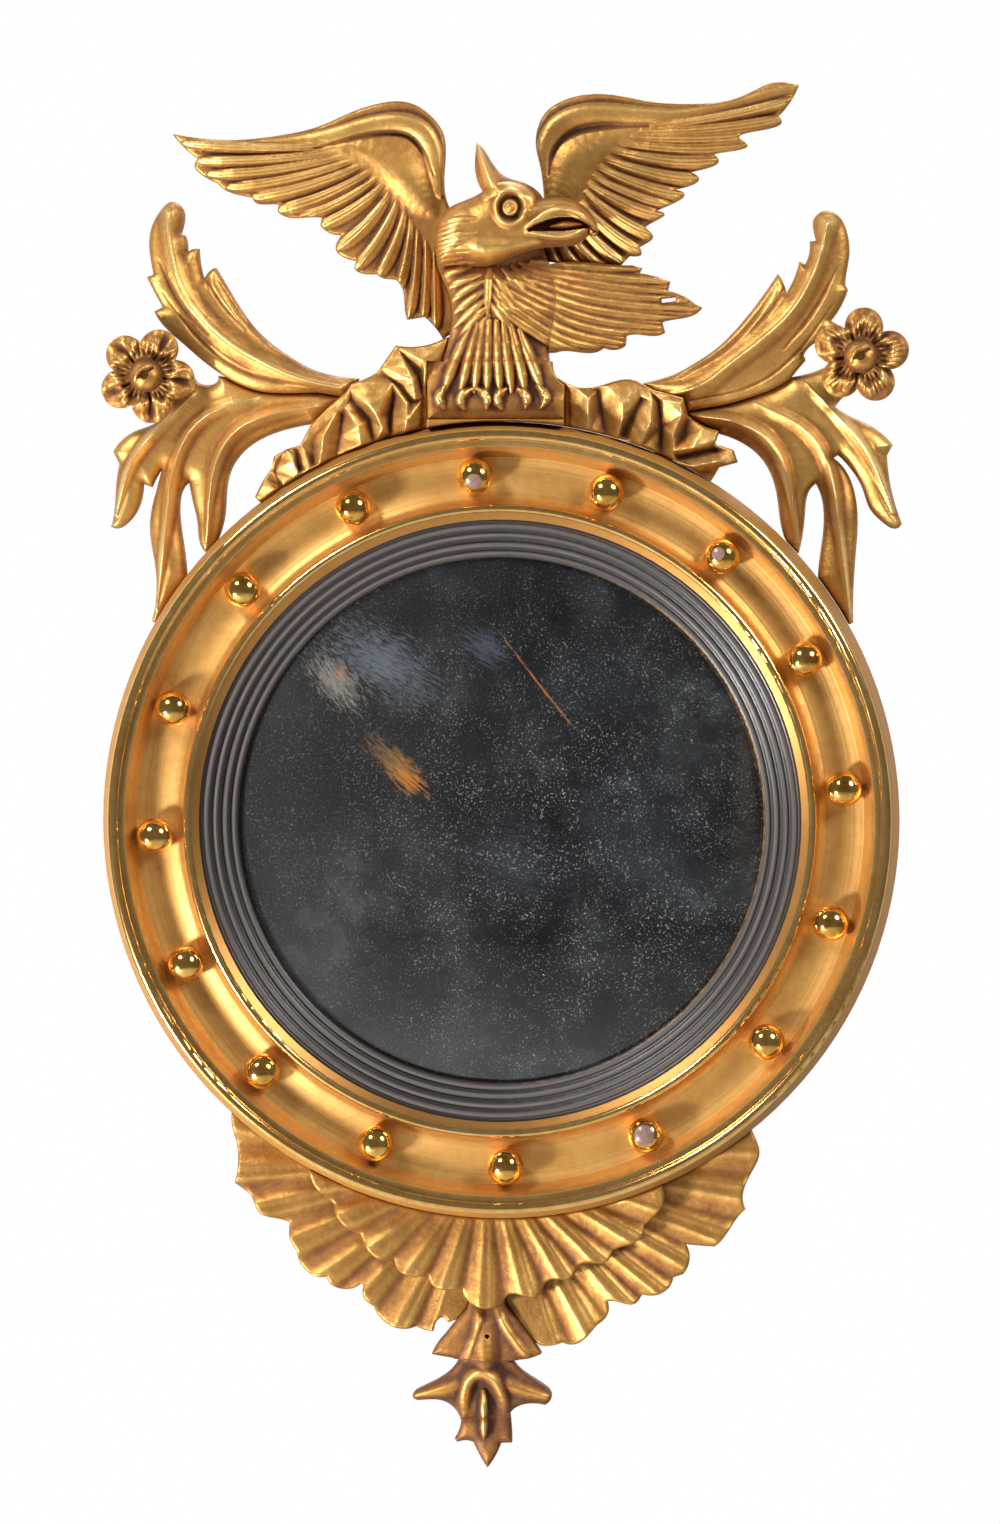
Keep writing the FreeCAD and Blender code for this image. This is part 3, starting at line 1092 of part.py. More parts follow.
def crest(room):
    """The carvings above the frame, each cut clear of those that stand before it."""
    body = eagle_body()
    head = eagle_head().cut(body)
    legs = drilled(eagle_legs().cut([room, body]))
    strip = plinth_strip()
    legs = legs.cut(strip)
    tail = eagle_tail().cut([body, head])
    wing_left = eagle_wing(WING_LEFT, LEFT_FEATHERS, LEADING_LEFT).cut([body, head])
    wing_right = eagle_wing(WING_RIGHT, RIGHT_FEATHERS, LEADING_RIGHT).cut([body, head, tail])
    strip = drilled(strip.cut(room))
    rocks = {"left": rockwork(ROCK_LEFT, ROCK_RIDGES_LEFT),
             "right": rockwork(ROCK_RIGHT, ROCK_RIDGES_RIGHT)}
    leaves = {"left": (LEAF_LEFT, LEAF_SPINE_LEFT), "right": (LEAF_RIGHT, LEAF_SPINE_RIGHT)}
    brackets = {"left": (BRACKET_LEFT, TENDRILS_LEFT), "right": (BRACKET_RIGHT, TENDRILS_RIGHT)}
    nodes = {"eagle_head": head, "eagle_body": body, "eagle_legs": legs, "eagle_tail": tail,
             "eagle_wing_left": wing_left, "eagle_wing_right": wing_right, "plinth_strip": strip}
    for side in ("left", "right"):
        rock = drilled(rocks[side].cut([room, legs, body, strip, wing_left]))
        leaf = crest_leaf(leaves[side][0], leaves[side][1]).cut([rock, room])
        arm = drilled(bracket(brackets[side][0], brackets[side][1]).cut([rock, leaf, room]))
        pin = flower_pin(side)
        nodes["rockwork_" + side] = rock
        nodes["leaf_" + side] = leaf
        nodes["bracket_" + side] = arm.cut(pin)
        nodes["flower_" + side] = flower(side)
        nodes["flower_button_" + side] = flower_button(side)
        nodes["flower_pin_" + side] = pin
    return nodes


def apron(room):
    """The carvings below the frame."""
    stem = collar()
    pendant = {"pendant_collar": stem, "pendant_husk": husk().cut(stem), "pendant_drop": drop()}
    pendant["pendant_drop"] = pendant["pendant_drop"].cut(pendant["pendant_husk"])
    front = fluted(SHELL_FRONT, FRONT_LOBES, SHELL_FRONT_BACK, SHELL_FRONT_FRONT, 7.0).cut(stem)
    left = fluted(SHELL_REAR_LEFT, REAR_LOBES_LEFT, WALL_GAP, SHELL_REAR_FRONT, 6.0)
    right = fluted(SHELL_REAR_RIGHT, REAR_LOBES_RIGHT, WALL_GAP, SHELL_REAR_FRONT, 6.0)
    nodes = {"shell_front": front, "shell_rear_left": left.cut([stem, front]),
             "shell_rear_right": right.cut([stem, front])}
    nodes.update(pendant)
    return {name: drilled(shape.cut(room)) for name, shape in nodes.items()}


def parts():
    """Every piece by its name."""
    nodes = {
        "frame_ring": frame_ring(),
        "reeded_slip": reeded_slip(),
        "convex_glass": convex_glass(),
        "glass_blocks": glass_blocks(),
        "backboard": backboard(),
        "hanger_plate": hanger_plate(),
        "hanging_ring": hanging_ring(),
        "hanger_screws": hanger_screws(),
        "button_screws": button_screws(),
        "mounting_straps": mounting_straps(),
        "strap_screws": strap_screws(),
    }
    for i, angle in enumerate(button_angles()):
        nodes["turn_button_%d" % (i + 1)] = turn_button(angle)
    for i, angle in enumerate(BALL_ANGLES):
        nodes["ball_%02d" % (i + 1)] = ball(angle)
    room = ring_room()
    nodes.update(crest(room))
    nodes.update(apron(room))
    return nodes


def main():
    os.makedirs("parts", exist_ok=True)
    to_hook = Vector(0, 0, -HOOK_HEIGHT)
    for name, shape in sorted(parts().items()):
        shape = solids_of(shape, 20.0)
        shape.translate(to_hook)
        shape.exportStep("parts/%s.step" % name)
        print(name, len(shape.Solids), round(shape.Volume / 1000.0, 1), shape.isValid())


main()
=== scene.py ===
# %% [markdown]
# # A girandole mirror
# A round giltwood frame with a bulged glass, a carved eagle over it and a carved shell under it.
# Sizes are in millimetres from the middle of the glass: x to the right, z up, depth forward from the wall.
# The CAD solids set every outline. The carving inside each outline is made here as a grid of depths.

# %% Load the solids
import math
from functools import partial

import bpy
import numpy as np
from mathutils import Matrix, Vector, geometry


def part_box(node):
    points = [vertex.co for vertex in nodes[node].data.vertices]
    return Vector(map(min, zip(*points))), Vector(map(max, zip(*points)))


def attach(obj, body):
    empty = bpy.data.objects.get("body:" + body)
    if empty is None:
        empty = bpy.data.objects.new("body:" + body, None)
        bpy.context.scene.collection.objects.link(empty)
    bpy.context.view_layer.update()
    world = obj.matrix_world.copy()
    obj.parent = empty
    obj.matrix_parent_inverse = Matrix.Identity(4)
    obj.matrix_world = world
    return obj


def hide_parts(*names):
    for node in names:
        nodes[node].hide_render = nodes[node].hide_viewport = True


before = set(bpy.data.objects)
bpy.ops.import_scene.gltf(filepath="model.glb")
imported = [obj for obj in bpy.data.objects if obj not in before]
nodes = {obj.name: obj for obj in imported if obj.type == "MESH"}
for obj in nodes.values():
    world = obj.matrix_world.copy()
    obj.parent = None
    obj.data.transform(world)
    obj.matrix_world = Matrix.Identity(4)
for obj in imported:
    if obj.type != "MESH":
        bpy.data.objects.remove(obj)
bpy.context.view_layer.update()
low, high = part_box("convex_glass")
MIDDLE = 1000 * (low.z + high.z) / 2     # height of the glass's middle in the frame
print("solids", len(nodes), "glass middle", round(MIDDLE, 2))

# %% [markdown]
# ## Carving tools
# A carved piece keeps the outline of its solid: a plane parallel to the wall cuts the solid and gives it.
# Inside it a grid of points gets a depth each, and walls and a flat back close the piece.

# %% Cut a solid to find its outline
def section(node, depth):
    """Outline of a solid at a depth: a pair of (x, z) ends for each triangle that crosses the plane."""
    mesh = nodes[node].data
    mesh.calc_loop_triangles()
    place = np.empty(3 * len(mesh.vertices))
    mesh.vertices.foreach_get("co", place)
    corner = np.empty(3 * len(mesh.loop_triangles), dtype=np.int32)
    mesh.loop_triangles.foreach_get("vertices", corner)
    p = 1000 * place.reshape(-1, 3)[corner.reshape(-1, 3)]
    side = -p[..., 1] - depth
    side = np.where(np.abs(side) < 1e-5, 1e-5, side)
    front = side > 0
    crossing = front.any(1) & ~front.all(1)
    p, side, front = p[crossing], side[crossing], front[crossing]
    alone = np.where(front.sum(1) == 1, front.argmax(1), (~front).argmax(1))
    row = np.arange(len(p))

    def meet(other):
        t = side[row, alone] / (side[row, alone] - side[row, other])
        return p[row, alone] + (p[row, other] - p[row, alone]) * t[:, None]

    ends = np.stack([meet((alone + 1) % 3), meet((alone + 2) % 3)], 1)[..., [0, 2]]
    ends[..., 1] -= MIDDLE
    return ends[np.hypot(*(ends[:, 1] - ends[:, 0]).T) > 1e-3]


def nearest(x, z, pairs):
    """Distance from each place to the outline, and the nearest place on it."""
    a, run = pairs[:, 0], pairs[:, 1] - pairs[:, 0]
    length = (run ** 2).sum(1)
    best, bx, bz = [], [], []
    for part in np.array_split(np.arange(len(x)), len(x) // 3000 + 1):
        px, pz = x[part, None] - a[:, 0], z[part, None] - a[:, 1]
        t = np.clip((px * run[:, 0] + pz * run[:, 1]) / length, 0, 1)
        away = (px - t * run[:, 0]) ** 2 + (pz - t * run[:, 1]) ** 2
        k = away.argmin(1)
        row = np.arange(len(part))
        best.append(np.sqrt(away[row, k]))
        bx.append(a[k, 0] + t[row, k] * run[k, 0])
        bz.append(a[k, 1] + t[row, k] * run[k, 1])
    return np.concatenate(best), np.concatenate(bx), np.concatenate(bz)


print("outline of the plinth:", len(section("eagle_legs", 20)), "pairs")

# %% [markdown]
# A carved rib is a line with a half width and a height at each of its points. Its section is round, soft or
# sharp.

# %% Ribs and grooves
def rounded(q):
    """Half circle."""
    return np.sqrt(np.clip(1 - q * q, 0, 1))


def soft(q):
    """Smooth hump that fades out: (1 - q^2)^2."""
    return np.clip(1 - q * q, 0, 1) ** 2


def sharp(q):
    """Roof with a ridge."""
    return np.clip(1 - q, 0, 1)


def smooth_line(rows, times=2):
    """The same line with its corners cut, keeping its ends."""
    rows = np.asarray(rows, float)
    for _ in range(times):
        a, b = rows[:-1], rows[1:]
        inner = np.stack([a * 0.75 + b * 0.25, a * 0.25 + b * 0.75], 1).reshape(-1, rows.shape[1])
        rows = np.vstack([rows[:1], inner[1:-1], rows[-1:]])
    return rows


def rib(x, z, rows, section_of=rounded, lean=0.0, times=2):
    """Height of a rib along rows of (x, z, half width, height). lean makes one flank steeper."""
    rows = smooth_line(rows, times)
    height = np.zeros_like(x)
    for a, b in zip(rows[:-1], rows[1:]):
        run = b[:2] - a[:2]
        px, pz = x - a[0], z - a[1]
        t = np.clip((px * run[0] + pz * run[1]) / (run @ run + 1e-9), 0, 1)
        away = np.hypot(px - t * run[0], pz - t * run[1])
        side = np.sign(run[0] * pz - run[1] * px)
        width = (a[2] + (b[2] - a[2]) * t) * (1 + lean * side)
        height = np.maximum(height, (a[3] + (b[3] - a[3]) * t) * section_of(away / width))
    return height


def ribs(x, z, lines, section_of=rounded, lean=0.0, times=2):
    """The highest of several ribs."""
    height = np.zeros_like(x)
    for rows in lines:
        height = np.maximum(height, rib(x, z, rows, section_of, lean, times))
    return height


# A feather's rib, as shares of its length, width and height: fine at the root and blunt at the tip.
FEATHER = ((0, 0.35, 0.15), (0.25, 0.75, 0.75), (0.6, 1.0, 1.0), (0.88, 0.95, 1.0), (1.0, 0.55, 0.7))


def plume(root, tip, bow, width, height):
    """Rows of a feather's rib from its root to its tip. bow bends it sideways."""
    (x0, z0), (x1, z1) = root, tip
    nx, nz = -(z1 - z0), x1 - x0
    rows = []
    for t, w, h in FEATHER:
        k = 4 * t * (1 - t) * bow
        rows.append((x0 + (x1 - x0) * t + nx * k, z0 + (z1 - z0) * t + nz * k, width * w, height * h))
    return rows


def strokes(x, z, lines, width, height, section_of=rounded):
    """Chisel strokes along lines of (x, z): ribs that start fine, swell and end in a point."""
    marks = []
    for line in lines:
        row = smooth_line(line)
        along = np.linspace(0, 1, len(row))
        swell = np.clip(1.35 * np.sin(np.pi * np.clip(0.12 + 0.80 * along, 0, 1)), 0.15, 1)
        marks.append(np.column_stack([row, width * swell, height * swell]))
    return ribs(x, z, marks, section_of, times=0)


CROSSING_DEPTH = 36.0     # where two lines of a rock cross without a point of their own


def facets(x, z, lines, border):
    """Flat facets between ridges and valleys, which are lines of (x, z, depth), inside a border."""
    places = [point for line in lines for point in line]
    links, start = [], 0
    for line in lines:
        links += [(start + k, start + k + 1) for k in range(len(line) - 1)]
        start += len(line)
    places += border
    flat = [Vector(point[:2]) for point in places]
    corners, _, triangles, origin, _, _ = geometry.delaunay_2d_cdt(flat, links, [], 0, 1e-4)
    level = [places[found[0]][2] if found else CROSSING_DEPTH for found in origin]
    depth = np.full_like(x, border[0][2])
    for a, b, c in triangles:
        (ax, az), (bx, bz), (cx, cz) = corners[a], corners[b], corners[c]
        area = (bx - ax) * (cz - az) - (cx - ax) * (bz - az)
        v = ((x - ax) * (cz - az) - (cx - ax) * (z - az)) / area
        w = ((bx - ax) * (z - az) - (x - ax) * (bz - az)) / area
        inside = (v >= -1e-6) & (w >= -1e-6) & (v + w <= 1 + 1e-6)
        depth[inside] = (level[a] + v * (level[b] - level[a]) + w * (level[c] - level[a]))[inside]
    return depth


def waves(x, z, size, seed):
    """Slow unevenness of hand work, from -1 to 1: a sum of four plane waves."""
    total = np.zeros_like(x)
    for k in range(4):
        turn = seed * 1.7 + k * 2.4
        total += np.sin((x * math.cos(turn) + z * math.sin(turn)) * 6.28 / (size * (1 + 0.37 * k)) + seed + k)
    return total / 4


print("a rib's height at its middle:", rib(np.zeros(1), np.zeros(1), [(-5, 0, 2, 3), (5, 0, 2, 3)]))

# %% [markdown]
# The grid's points at the edge move onto the outline. How deep a place lies among its neighbours is kept as
# the value "hollow". It browns the gilding in the hollows with grime and painted shade, and lightens it on
# the ridges with wear and painted highlight.

# %% Make a carved piece
def sums(values, radius):
    """Sum over a square round each place."""
    n = 2 * radius + 1
    for axis in (0, 1):
        pad = [(n, n) if k == axis else (0, 0) for k in (0, 1)]
        upper = np.arange(values.shape[axis]) + n + radius
        total = np.cumsum(np.pad(values, pad), axis)
        values = np.take(total, upper, axis) - np.take(total, upper - n, axis)
    return values


def blur(values, mask, radius):
    """Mean over a square of the places inside the piece, taken three times."""
    count = np.maximum(sums(mask.astype(float), radius), 1)
    for _ in range(3):
        values = sums(values * mask, radius) / count
    return values


def cells_inside(pairs, xs, zs, step):
    """Which cells of a grid have their middle inside the outline: an odd number of crossings to its left."""
    middle_x, middle_z = xs[:-1] + step / 2, zs[:-1] + step / 2
    (ax, az), (bx, bz) = pairs[:, 0].T, pairs[:, 1].T
    row, k = np.nonzero((az <= middle_z[:, None]) != (bz <= middle_z[:, None]))
    at = ax[k] + (middle_z[row] - az[k]) / (bz[k] - az[k]) * (bx[k] - ax[k])
    crossed = np.zeros((len(middle_z), len(middle_x) + 1), int)
    np.add.at(crossed, (row, np.searchsorted(middle_x, at)), 1)
    return np.cumsum(crossed, 1)[:, :-1] % 2 == 1


NEAR, FAR = 2.2, 6.0                    # how far round a place "hollow" looks for its neighbours
NEAR_GAIN, FAR_GAIN = 0.21, 0.035       # what a millimetre below them adds to "hollow"
EASE, BACK_HOLLOW = 4, 0.75             # way from an edge over which it comes in; its value on the back
THINNEST = 1.0


def carve(name, node, cut, back, shape, step=0.8, ignore=None, fill=None, lap=(0, 0), dirt=0.0):
    """A carved piece: depths inside a solid's outline from shape(x, z, edge), where edge is the way to it.
    Edges where ignore(x, z) is true stay unrounded and move by lap, up to the next piece. A hole inside the
    box fill = (x0, z0, x1, z1) is closed. The last argument adds painted shade to the whole piece, and
    painted light where it is below 0."""
    pairs = section(node, cut)
    if fill is not None:
        inside = ((pairs > fill[:2]) & (pairs < fill[2:])).all((1, 2))
        pairs = pairs[~inside]
    start, stop = pairs.min((0, 1)) - 2.03 * step, pairs.max((0, 1)) + 2 * step
    xs, zs = np.arange(start[0], stop[0], step), np.arange(start[1], stop[1], step)
    cell = cells_inside(pairs, xs, zs, step)

    around = np.pad(cell, 1).astype(int)
    touching = around[:-1, :-1] + around[1:, :-1] + around[:-1, 1:] + around[1:, 1:]
    used, rim = touching > 0, (touching > 0) & (touching < 4)
    x, z = np.meshgrid(xs, zs)
    _, x[rim], z[rim] = nearest(x[rim], z[rim], pairs)
    if ignore is not None:
        joint = rim & ignore(x, z)
        x[joint], z[joint] = x[joint] + lap[0], z[joint] + lap[1]
    soft_pairs = pairs if ignore is None else pairs[~ignore(pairs[..., 0], pairs[..., 1]).all(1)]
    edge = np.zeros_like(x)
    edge[used] = nearest(x[used], z[used], soft_pairs)[0]
    depth = np.full(x.shape, float(back))
    depth[used] = np.maximum(shape(x[used], z[used], edge[used]), back + THINNEST)
    # Painted shade and highlight: "hollow" is high in hollows and low on ridges, along with the grime and
    # wear of old gilt.
    near, far = blur(depth, used, round(NEAR / step)), blur(depth, used, round(FAR / step))
    inner = np.clip(edge / EASE, 0.15, 1)
    if ignore is not None:
        inner[used] = np.minimum(inner[used], np.clip(nearest(x[used], z[used], pairs)[0] / EASE, 0, 1))
    # Painted shade: the last argument darkens the whole piece, and lightens it as painted light where below
    # 0.
    hollow = np.clip(0.5 + dirt + (NEAR_GAIN * (near - depth) + FAR_GAIN * (far - depth)) * inner, 0, 1)

    number = np.full(x.shape, -1)
    number[used] = np.arange(used.sum())
    count = int(used.sum())
    front = np.stack([x[used], -depth[used], z[used] + MIDDLE], 1)
    rear = front.copy()
    rear[:, 1] = -back
    r, c = np.nonzero(cell)
    quad = np.stack([number[r, c], number[r, c + 1], number[r + 1, c + 1], number[r + 1, c]], 1)
    walls = []
    for dr, dc, i in ((0, 1, 0), (1, 2, 1), (2, 1, 2), (1, 0, 3)):
        open_side = around[r + dr, c + dc] == 0
        a, b = quad[open_side, i], quad[open_side, (i + 1) % 4]
        walls.append(np.stack([b, a, a + count, b + count], 1))
    faces = np.vstack([quad, quad[:, ::-1] + count] + walls)
    piece = grid_mesh(name, np.vstack([front, rear]) / 1000, faces, len(quad))
    mark = piece.data.attributes.new("hollow", "FLOAT", "POINT")
    mark.data.foreach_set("value", np.append(hollow[used], np.full(count, BACK_HOLLOW)).astype(np.float32))
    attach(piece, "mirror")
    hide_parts(node)
    print(name, len(faces), "faces, depth", round(depth[used].min(), 1), "to", round(depth[used].max(), 1))


def show(name, data):
    """A new object in the scene."""
    made = bpy.data.objects.new(name, data)
    bpy.context.scene.collection.objects.link(made)
    return made


def grid_mesh(name, places, faces, smooth_faces):
    """A gilt mesh from whole arrays. The first faces are smooth and the rest flat."""
    mesh = bpy.data.meshes.new(name)
    mesh.vertices.add(len(places))
    mesh.vertices.foreach_set("co", places.astype(np.float32).ravel())
    mesh.loops.add(faces.size)
    mesh.loops.foreach_set("vertex_index", faces.astype(np.int32).ravel())
    mesh.polygons.add(len(faces))
    mesh.polygons.foreach_set("loop_start", np.arange(0, faces.size, 4, dtype=np.int32))
    mesh.update(calc_edges=True)
    mesh.polygons.foreach_set("use_smooth", np.arange(len(faces)) < smooth_faces)
    mesh.materials.append(carved)
    mesh.update()
    mesh.validate()
    return show(name, mesh)


def pair(name, node, cut, back, left, right, **rest):
    """The left and the right one of two carved pieces."""
    carve(name + "left", node + "left", cut, back, left, **rest)
    carve(name + "right", node + "right", cut, back, right, **rest)


def dome(edge, reach, rise):
    """Rise of a rounded back over the way to the outline: a quarter circle that is level after reach."""
    q = 1 - np.clip(edge / reach, 0, 1)
    return rise * np.sqrt(np.clip(1 - q * q, 0, 1))


print("carving tools ready")

# %% [markdown]
# ## Finishes
# The carving is oil gilt: warm gold over red clay, brown in the hollows with grime and painted shade. The
# turned frame is water gilt with burnished beads. The slip is black stained wood, and the glass has old
# silvering that has gone dark, with a painted reflection of a dark room in its colour.

# %% Material tools
def colour(code):
    """An sRGB hex colour as linear numbers."""
    parts = [int(code[i:i + 2], 16) / 255 for i in (0, 2, 4)]
    return [c / 12.92 if c <= 0.04045 else ((c + 0.055) / 1.055) ** 2.4 for c in parts] + [1.0]


def set_input(socket, value):
    """Link a socket to another node's result, or give it a plain value."""
    if hasattr(value, "is_output"):
        socket.id_data.links.new(value, socket)
    else:
        socket.default_value = value


def join(kind, inputs, **settings):
    """Add a shader node to the tree that its linked inputs come from, and give its first result."""
    tree = next(value for value in inputs.values() if hasattr(value, "is_output")).id_data
    node = tree.nodes.new("ShaderNode" + kind)
    for key, value in settings.items():
        setattr(node, key, value)
    for key, value in inputs.items():
        set_input(node.inputs[key], value)
    return node.outputs[0]


def material(name):
    """A new material, a short way to fill its shader's sockets, and the place on the object."""
    made = bpy.data.materials.new(name)
    made.use_nodes = True
    nodes_of = made.node_tree.nodes

    def put(socket, value):
        set_input(nodes_of["Principled BSDF"].inputs[socket], value)

    return made, put, nodes_of.new("ShaderNodeTexCoord").outputs["Object"]


def ramp(value, stops):
    """A colour ramp from (place, hex) stops."""
    out = join("ValToRGB", {"Fac": value})
    bar = out.node.color_ramp
    while len(bar.elements) < len(stops):
        bar.elements.new(0.5)
    for element, (at, code) in zip(bar.elements, stops):
        element.position = at
        element.color = colour(code)
    return out


def levels(value, stops):
    """A plain curve through (value, result) stops, the two ends first."""
    out = join("FloatCurve", {"Value": value})
    curve = out.node.mapping.curves[0]
    for k, (a, b) in enumerate(stops):
        if k < 2:
            curve.points[k].location = (a, b)
        else:
            curve.points.new(a, b)
    for point in curve.points:
        point.handle_type = "VECTOR"
    out.node.mapping.update()
    return out


def noise(place, millimetres, detail=4.0, rough=0.55):
    """Noise whose pattern is about so many millimetres across."""
    return join("TexNoise", {"Vector": place, "Scale": 1000 / millimetres, "Detail": detail,
                             "Roughness": rough})


def calc(kind, a, b, clamp=False):
    """A Math node on two values, at least one of them another node's result."""
    return join("Math", {0: a, 1: b}, operation=kind, use_clamp=clamp)


plus, minus, times, most, above, below = (
    partial(calc, kind) for kind in ("ADD", "SUBTRACT", "MULTIPLY", "MAXIMUM", "GREATER_THAN", "LESS_THAN"))


def stirred(value, pattern, amount):
    """Value moved up and down by a noise pattern."""
    return plus(value, times(minus(pattern, 0.5), amount))


def vector(kind, a, b=(0, 0, 0)):
    """A vector of two vectors, or a number for LENGTH and DISTANCE."""
    results = join("VectorMath", {0: a, 1: b}, operation=kind).node.outputs
    return results["Value" if kind in ("LENGTH", "DISTANCE") else "Vector"]


def axis(place, name):
    """One part of a vector: X, Y or Z."""
    return join("SeparateXYZ", {"Vector": place}).node.outputs[name]


def span(value, start, stop, first=0.0, last=1.0):
    """First where value is at start, last where it is at stop, and level beyond."""
    return join("MapRange", {"Value": value, "From Min": start, "From Max": stop,
                             "To Min": first, "To Max": last})


def mix(share, first, second):
    """First colour where share is 0, second where it is 1."""
    return join("Mix", {"Factor": share, "A": first, "B": second}, data_type="RGBA").node.outputs["Result"]


def bumped(height, distance, strength=1.0):
    """A normal from a height; distance is the height of 1, in millimetres."""
    return join("Bump", {"Height": height, "Distance": distance / 1000, "Strength": strength})


print("material tools ready")

# %% Gilding on the carving
def carved_gilding():
    """Oil gilding on carved wood. "hollow" runs from 0 on a worn ridge with painted highlight to 1 in a dirty
    groove with painted shade.
    """
    made, put, place = material("aged gilding on carved wood")
    attribute = made.node_tree.nodes.new("ShaderNodeAttribute")
    attribute.attribute_name = "hollow"
    hollow = attribute.outputs["Fac"]
    broad = noise(place, 42, 3)
    fine = noise(place, 5, 5, 0.65)
    grain = noise(place, 1.3, 4, 0.7)
    # The ramp paints highlight on ridges and shade in hollows, as well as the wear and grime of old gilding.
    shifted = stirred(stirred(hollow, broad, 0.42), fine, 0.40)
    gilt = ramp(shifted, ((0.05, "E8C07A"), (0.34, "D2A25A"), (0.50, "BC8A46"), (0.64, "9C6A35"),
                          (0.78, "784A28"), (0.95, "50301C")))
    specks = levels(grain, ((0.0, 0.0), (1.0, 0.0), (0.30, 0.45), (0.36, 0.0)))
    put("Base Color", mix(specks, gilt, colour("5A3820")))
    put("Metallic", levels(shifted, ((0.0, 0.85), (1.0, 0.25), (0.55, 0.8), (0.8, 0.4))))
    put("Roughness", levels(shifted, ((0.0, 0.34), (1.0, 0.8), (0.5, 0.43), (0.75, 0.6))))
    put("Normal", bumped(plus(fine, times(grain, 0.35)), 0.45))
    return made


carved = carved_gilding()
print("made", carved.name)

# %% [markdown]
# ## The eagle
# The wings have a rolled front edge, a smooth part beside the body and long feathers that end in points.

# %% Wings
def wing(roll, hollow_line, feathers, cover, side):
    """A wing: a board, a rib and fine lines for each feather, the smooth shoulder and the rolled edge."""
    blades = [plume(root, tip, bow, width, 4.2) for root, tip, bow, width in feathers]
    quills = []
    for (rx, rz), (tx, tz), bow, width in feathers:
        for share in (-0.55, 0.0, 0.5):
            quill = plume((rx, rz + share * 4), (tx, tz + share * width), bow, 1, 1)
            quills.append([row[:2] for row in quill])

    def shape(x, z, edge):
        board = 18.5 + dome(edge, 2.5, 1.8) + 0.5 * waves(x, z, 24, side)
        shoulder = rib(x, z, cover, soft)
        edge_roll = rib(x, z, roll, rounded, 0.2 * side)
        groove = strokes(x, z, [hollow_line], 2.8, 2.6, soft)
        blend = np.clip(shoulder / 4.5, 0, 1)
        carving = ribs(x, z, blades, rounded, 0.3 * side) + strokes(x, z, quills, 1.2, 1.5, soft)
        inner = carving * (1 - blend) + shoulder
        return board + inner * (1 - 0.5 * np.clip(edge_roll / 2, 0, 1)) + edge_roll - groove
    return shape


LEFT_ROLL = [
    (-42, 440, 4, 2), (-45, 458, 6, 4), (-47, 473, 7.5, 5), (-55, 486, 8, 5.5), (-70, 491.5, 8, 5.5),
    (-92, 489, 7.5, 5), (-120, 480.5, 6.5, 4), (-150, 475.5, 5, 2.5), (-185, 475, 4, 1.5), (-225, 480, 3, 1)]
LEFT_HOLLOW = [
    (-131, 471), (-112, 476), (-98, 480), (-84, 482), (-70, 481.5), (-62, 478), (-53, 467), (-47, 452)]
LEFT_FEATHERS = [
    ((-118, 473), (-222, 475.5), 0.02, 4.4), ((-112, 470), (-212, 463.5), 0.03, 4.6),
    ((-108, 467), (-204, 454), 0.04, 4.8), ((-102, 464), (-190, 445), 0.045, 5),
    ((-96, 461), (-173, 438), 0.05, 5.4), ((-90, 457), (-155, 429.5), 0.06, 5.8),
    ((-86, 452), (-140, 424), 0.06, 4.6), ((-82, 447), (-127, 418), 0.06, 5.4),
    ((-78, 441), (-114, 403), 0.06, 5.8), ((-73, 435), (-102, 389), 0.06, 5.6),
    ((-68, 428), (-87, 382), 0.05, 5.2), ((-64, 420), (-73, 373), 0.04, 4.8),
    ((-59, 412), (-65, 354), 0.03, 4.4), ((-53, 404), (-55, 352), 0.02, 4.4), ((-47, 396), (-46, 345), 0, 4)]
LEFT_COVER = [
    (-50, 428, 8, 2), (-58, 438, 17, 5), (-70, 455, 26, 6), (-92, 470, 17, 4.5), (-130, 474, 9, 0.5)]
RIGHT_ROLL = [
    (30.5, 444, 4, 2), (28.5, 460, 6, 4), (30, 475, 7, 5), (37, 488, 8, 5.5), (52, 496, 8, 5.5),
    (72, 498, 7.5, 5), (97, 495.5, 6.5, 4), (127, 494.5, 5, 2.5), (157, 500, 4, 1.5), (184, 508, 4, 1),
    (204, 514, 3, 1)]
RIGHT_HOLLOW = [(33.5, 452), (34.5, 463), (37, 470), (42, 476.5), (52, 482), (65, 485), (81, 486), (104, 486)]
RIGHT_FEATHERS = [
    ((105, 487), (203, 505), -0.03, 4.6), ((98, 483), (196, 492), -0.03, 5),
    ((92, 479), (187, 482), -0.03, 5.2), ((84, 475), (172, 473), -0.04, 5.4),
    ((78, 470), (152, 463), -0.05, 5.6), ((73, 464), (139, 450), -0.05, 5.6),
    ((69, 458), (128, 439), -0.05, 5.6), ((65, 452), (120, 431), -0.05, 4.4),
    ((62, 446), (114, 424), -0.05, 5.4), ((60, 440), (107, 410), -0.05, 5.4),
    ((57, 432), (99, 399), -0.05, 5.2), ((52, 423), (86, 391), -0.04, 5.2), ((46, 414), (73, 386), -0.04, 5),
    ((40, 408), (58, 384), -0.03, 4.6), ((34, 404), (44, 382), -0.02, 4.4)]
RIGHT_COVER = [(36, 432, 9, 2), (42, 446, 16, 5), (48, 463, 22, 6.0), (66, 475, 16, 4.5), (104, 484, 9, 0.5)]


pair("wing_", "eagle_wing_", 20, 14, wing(LEFT_ROLL, LEFT_HOLLOW, LEFT_FEATHERS, LEFT_COVER, 1),
     wing(RIGHT_ROLL, RIGHT_HOLLOW, RIGHT_FEATHERS, RIGHT_COVER, -1), step=0.7)

# %% [markdown]
# Breast, legs and tail are three pieces with one carved surface over them. The breast feathers part under the
# throat: those on the right run on into the tail.

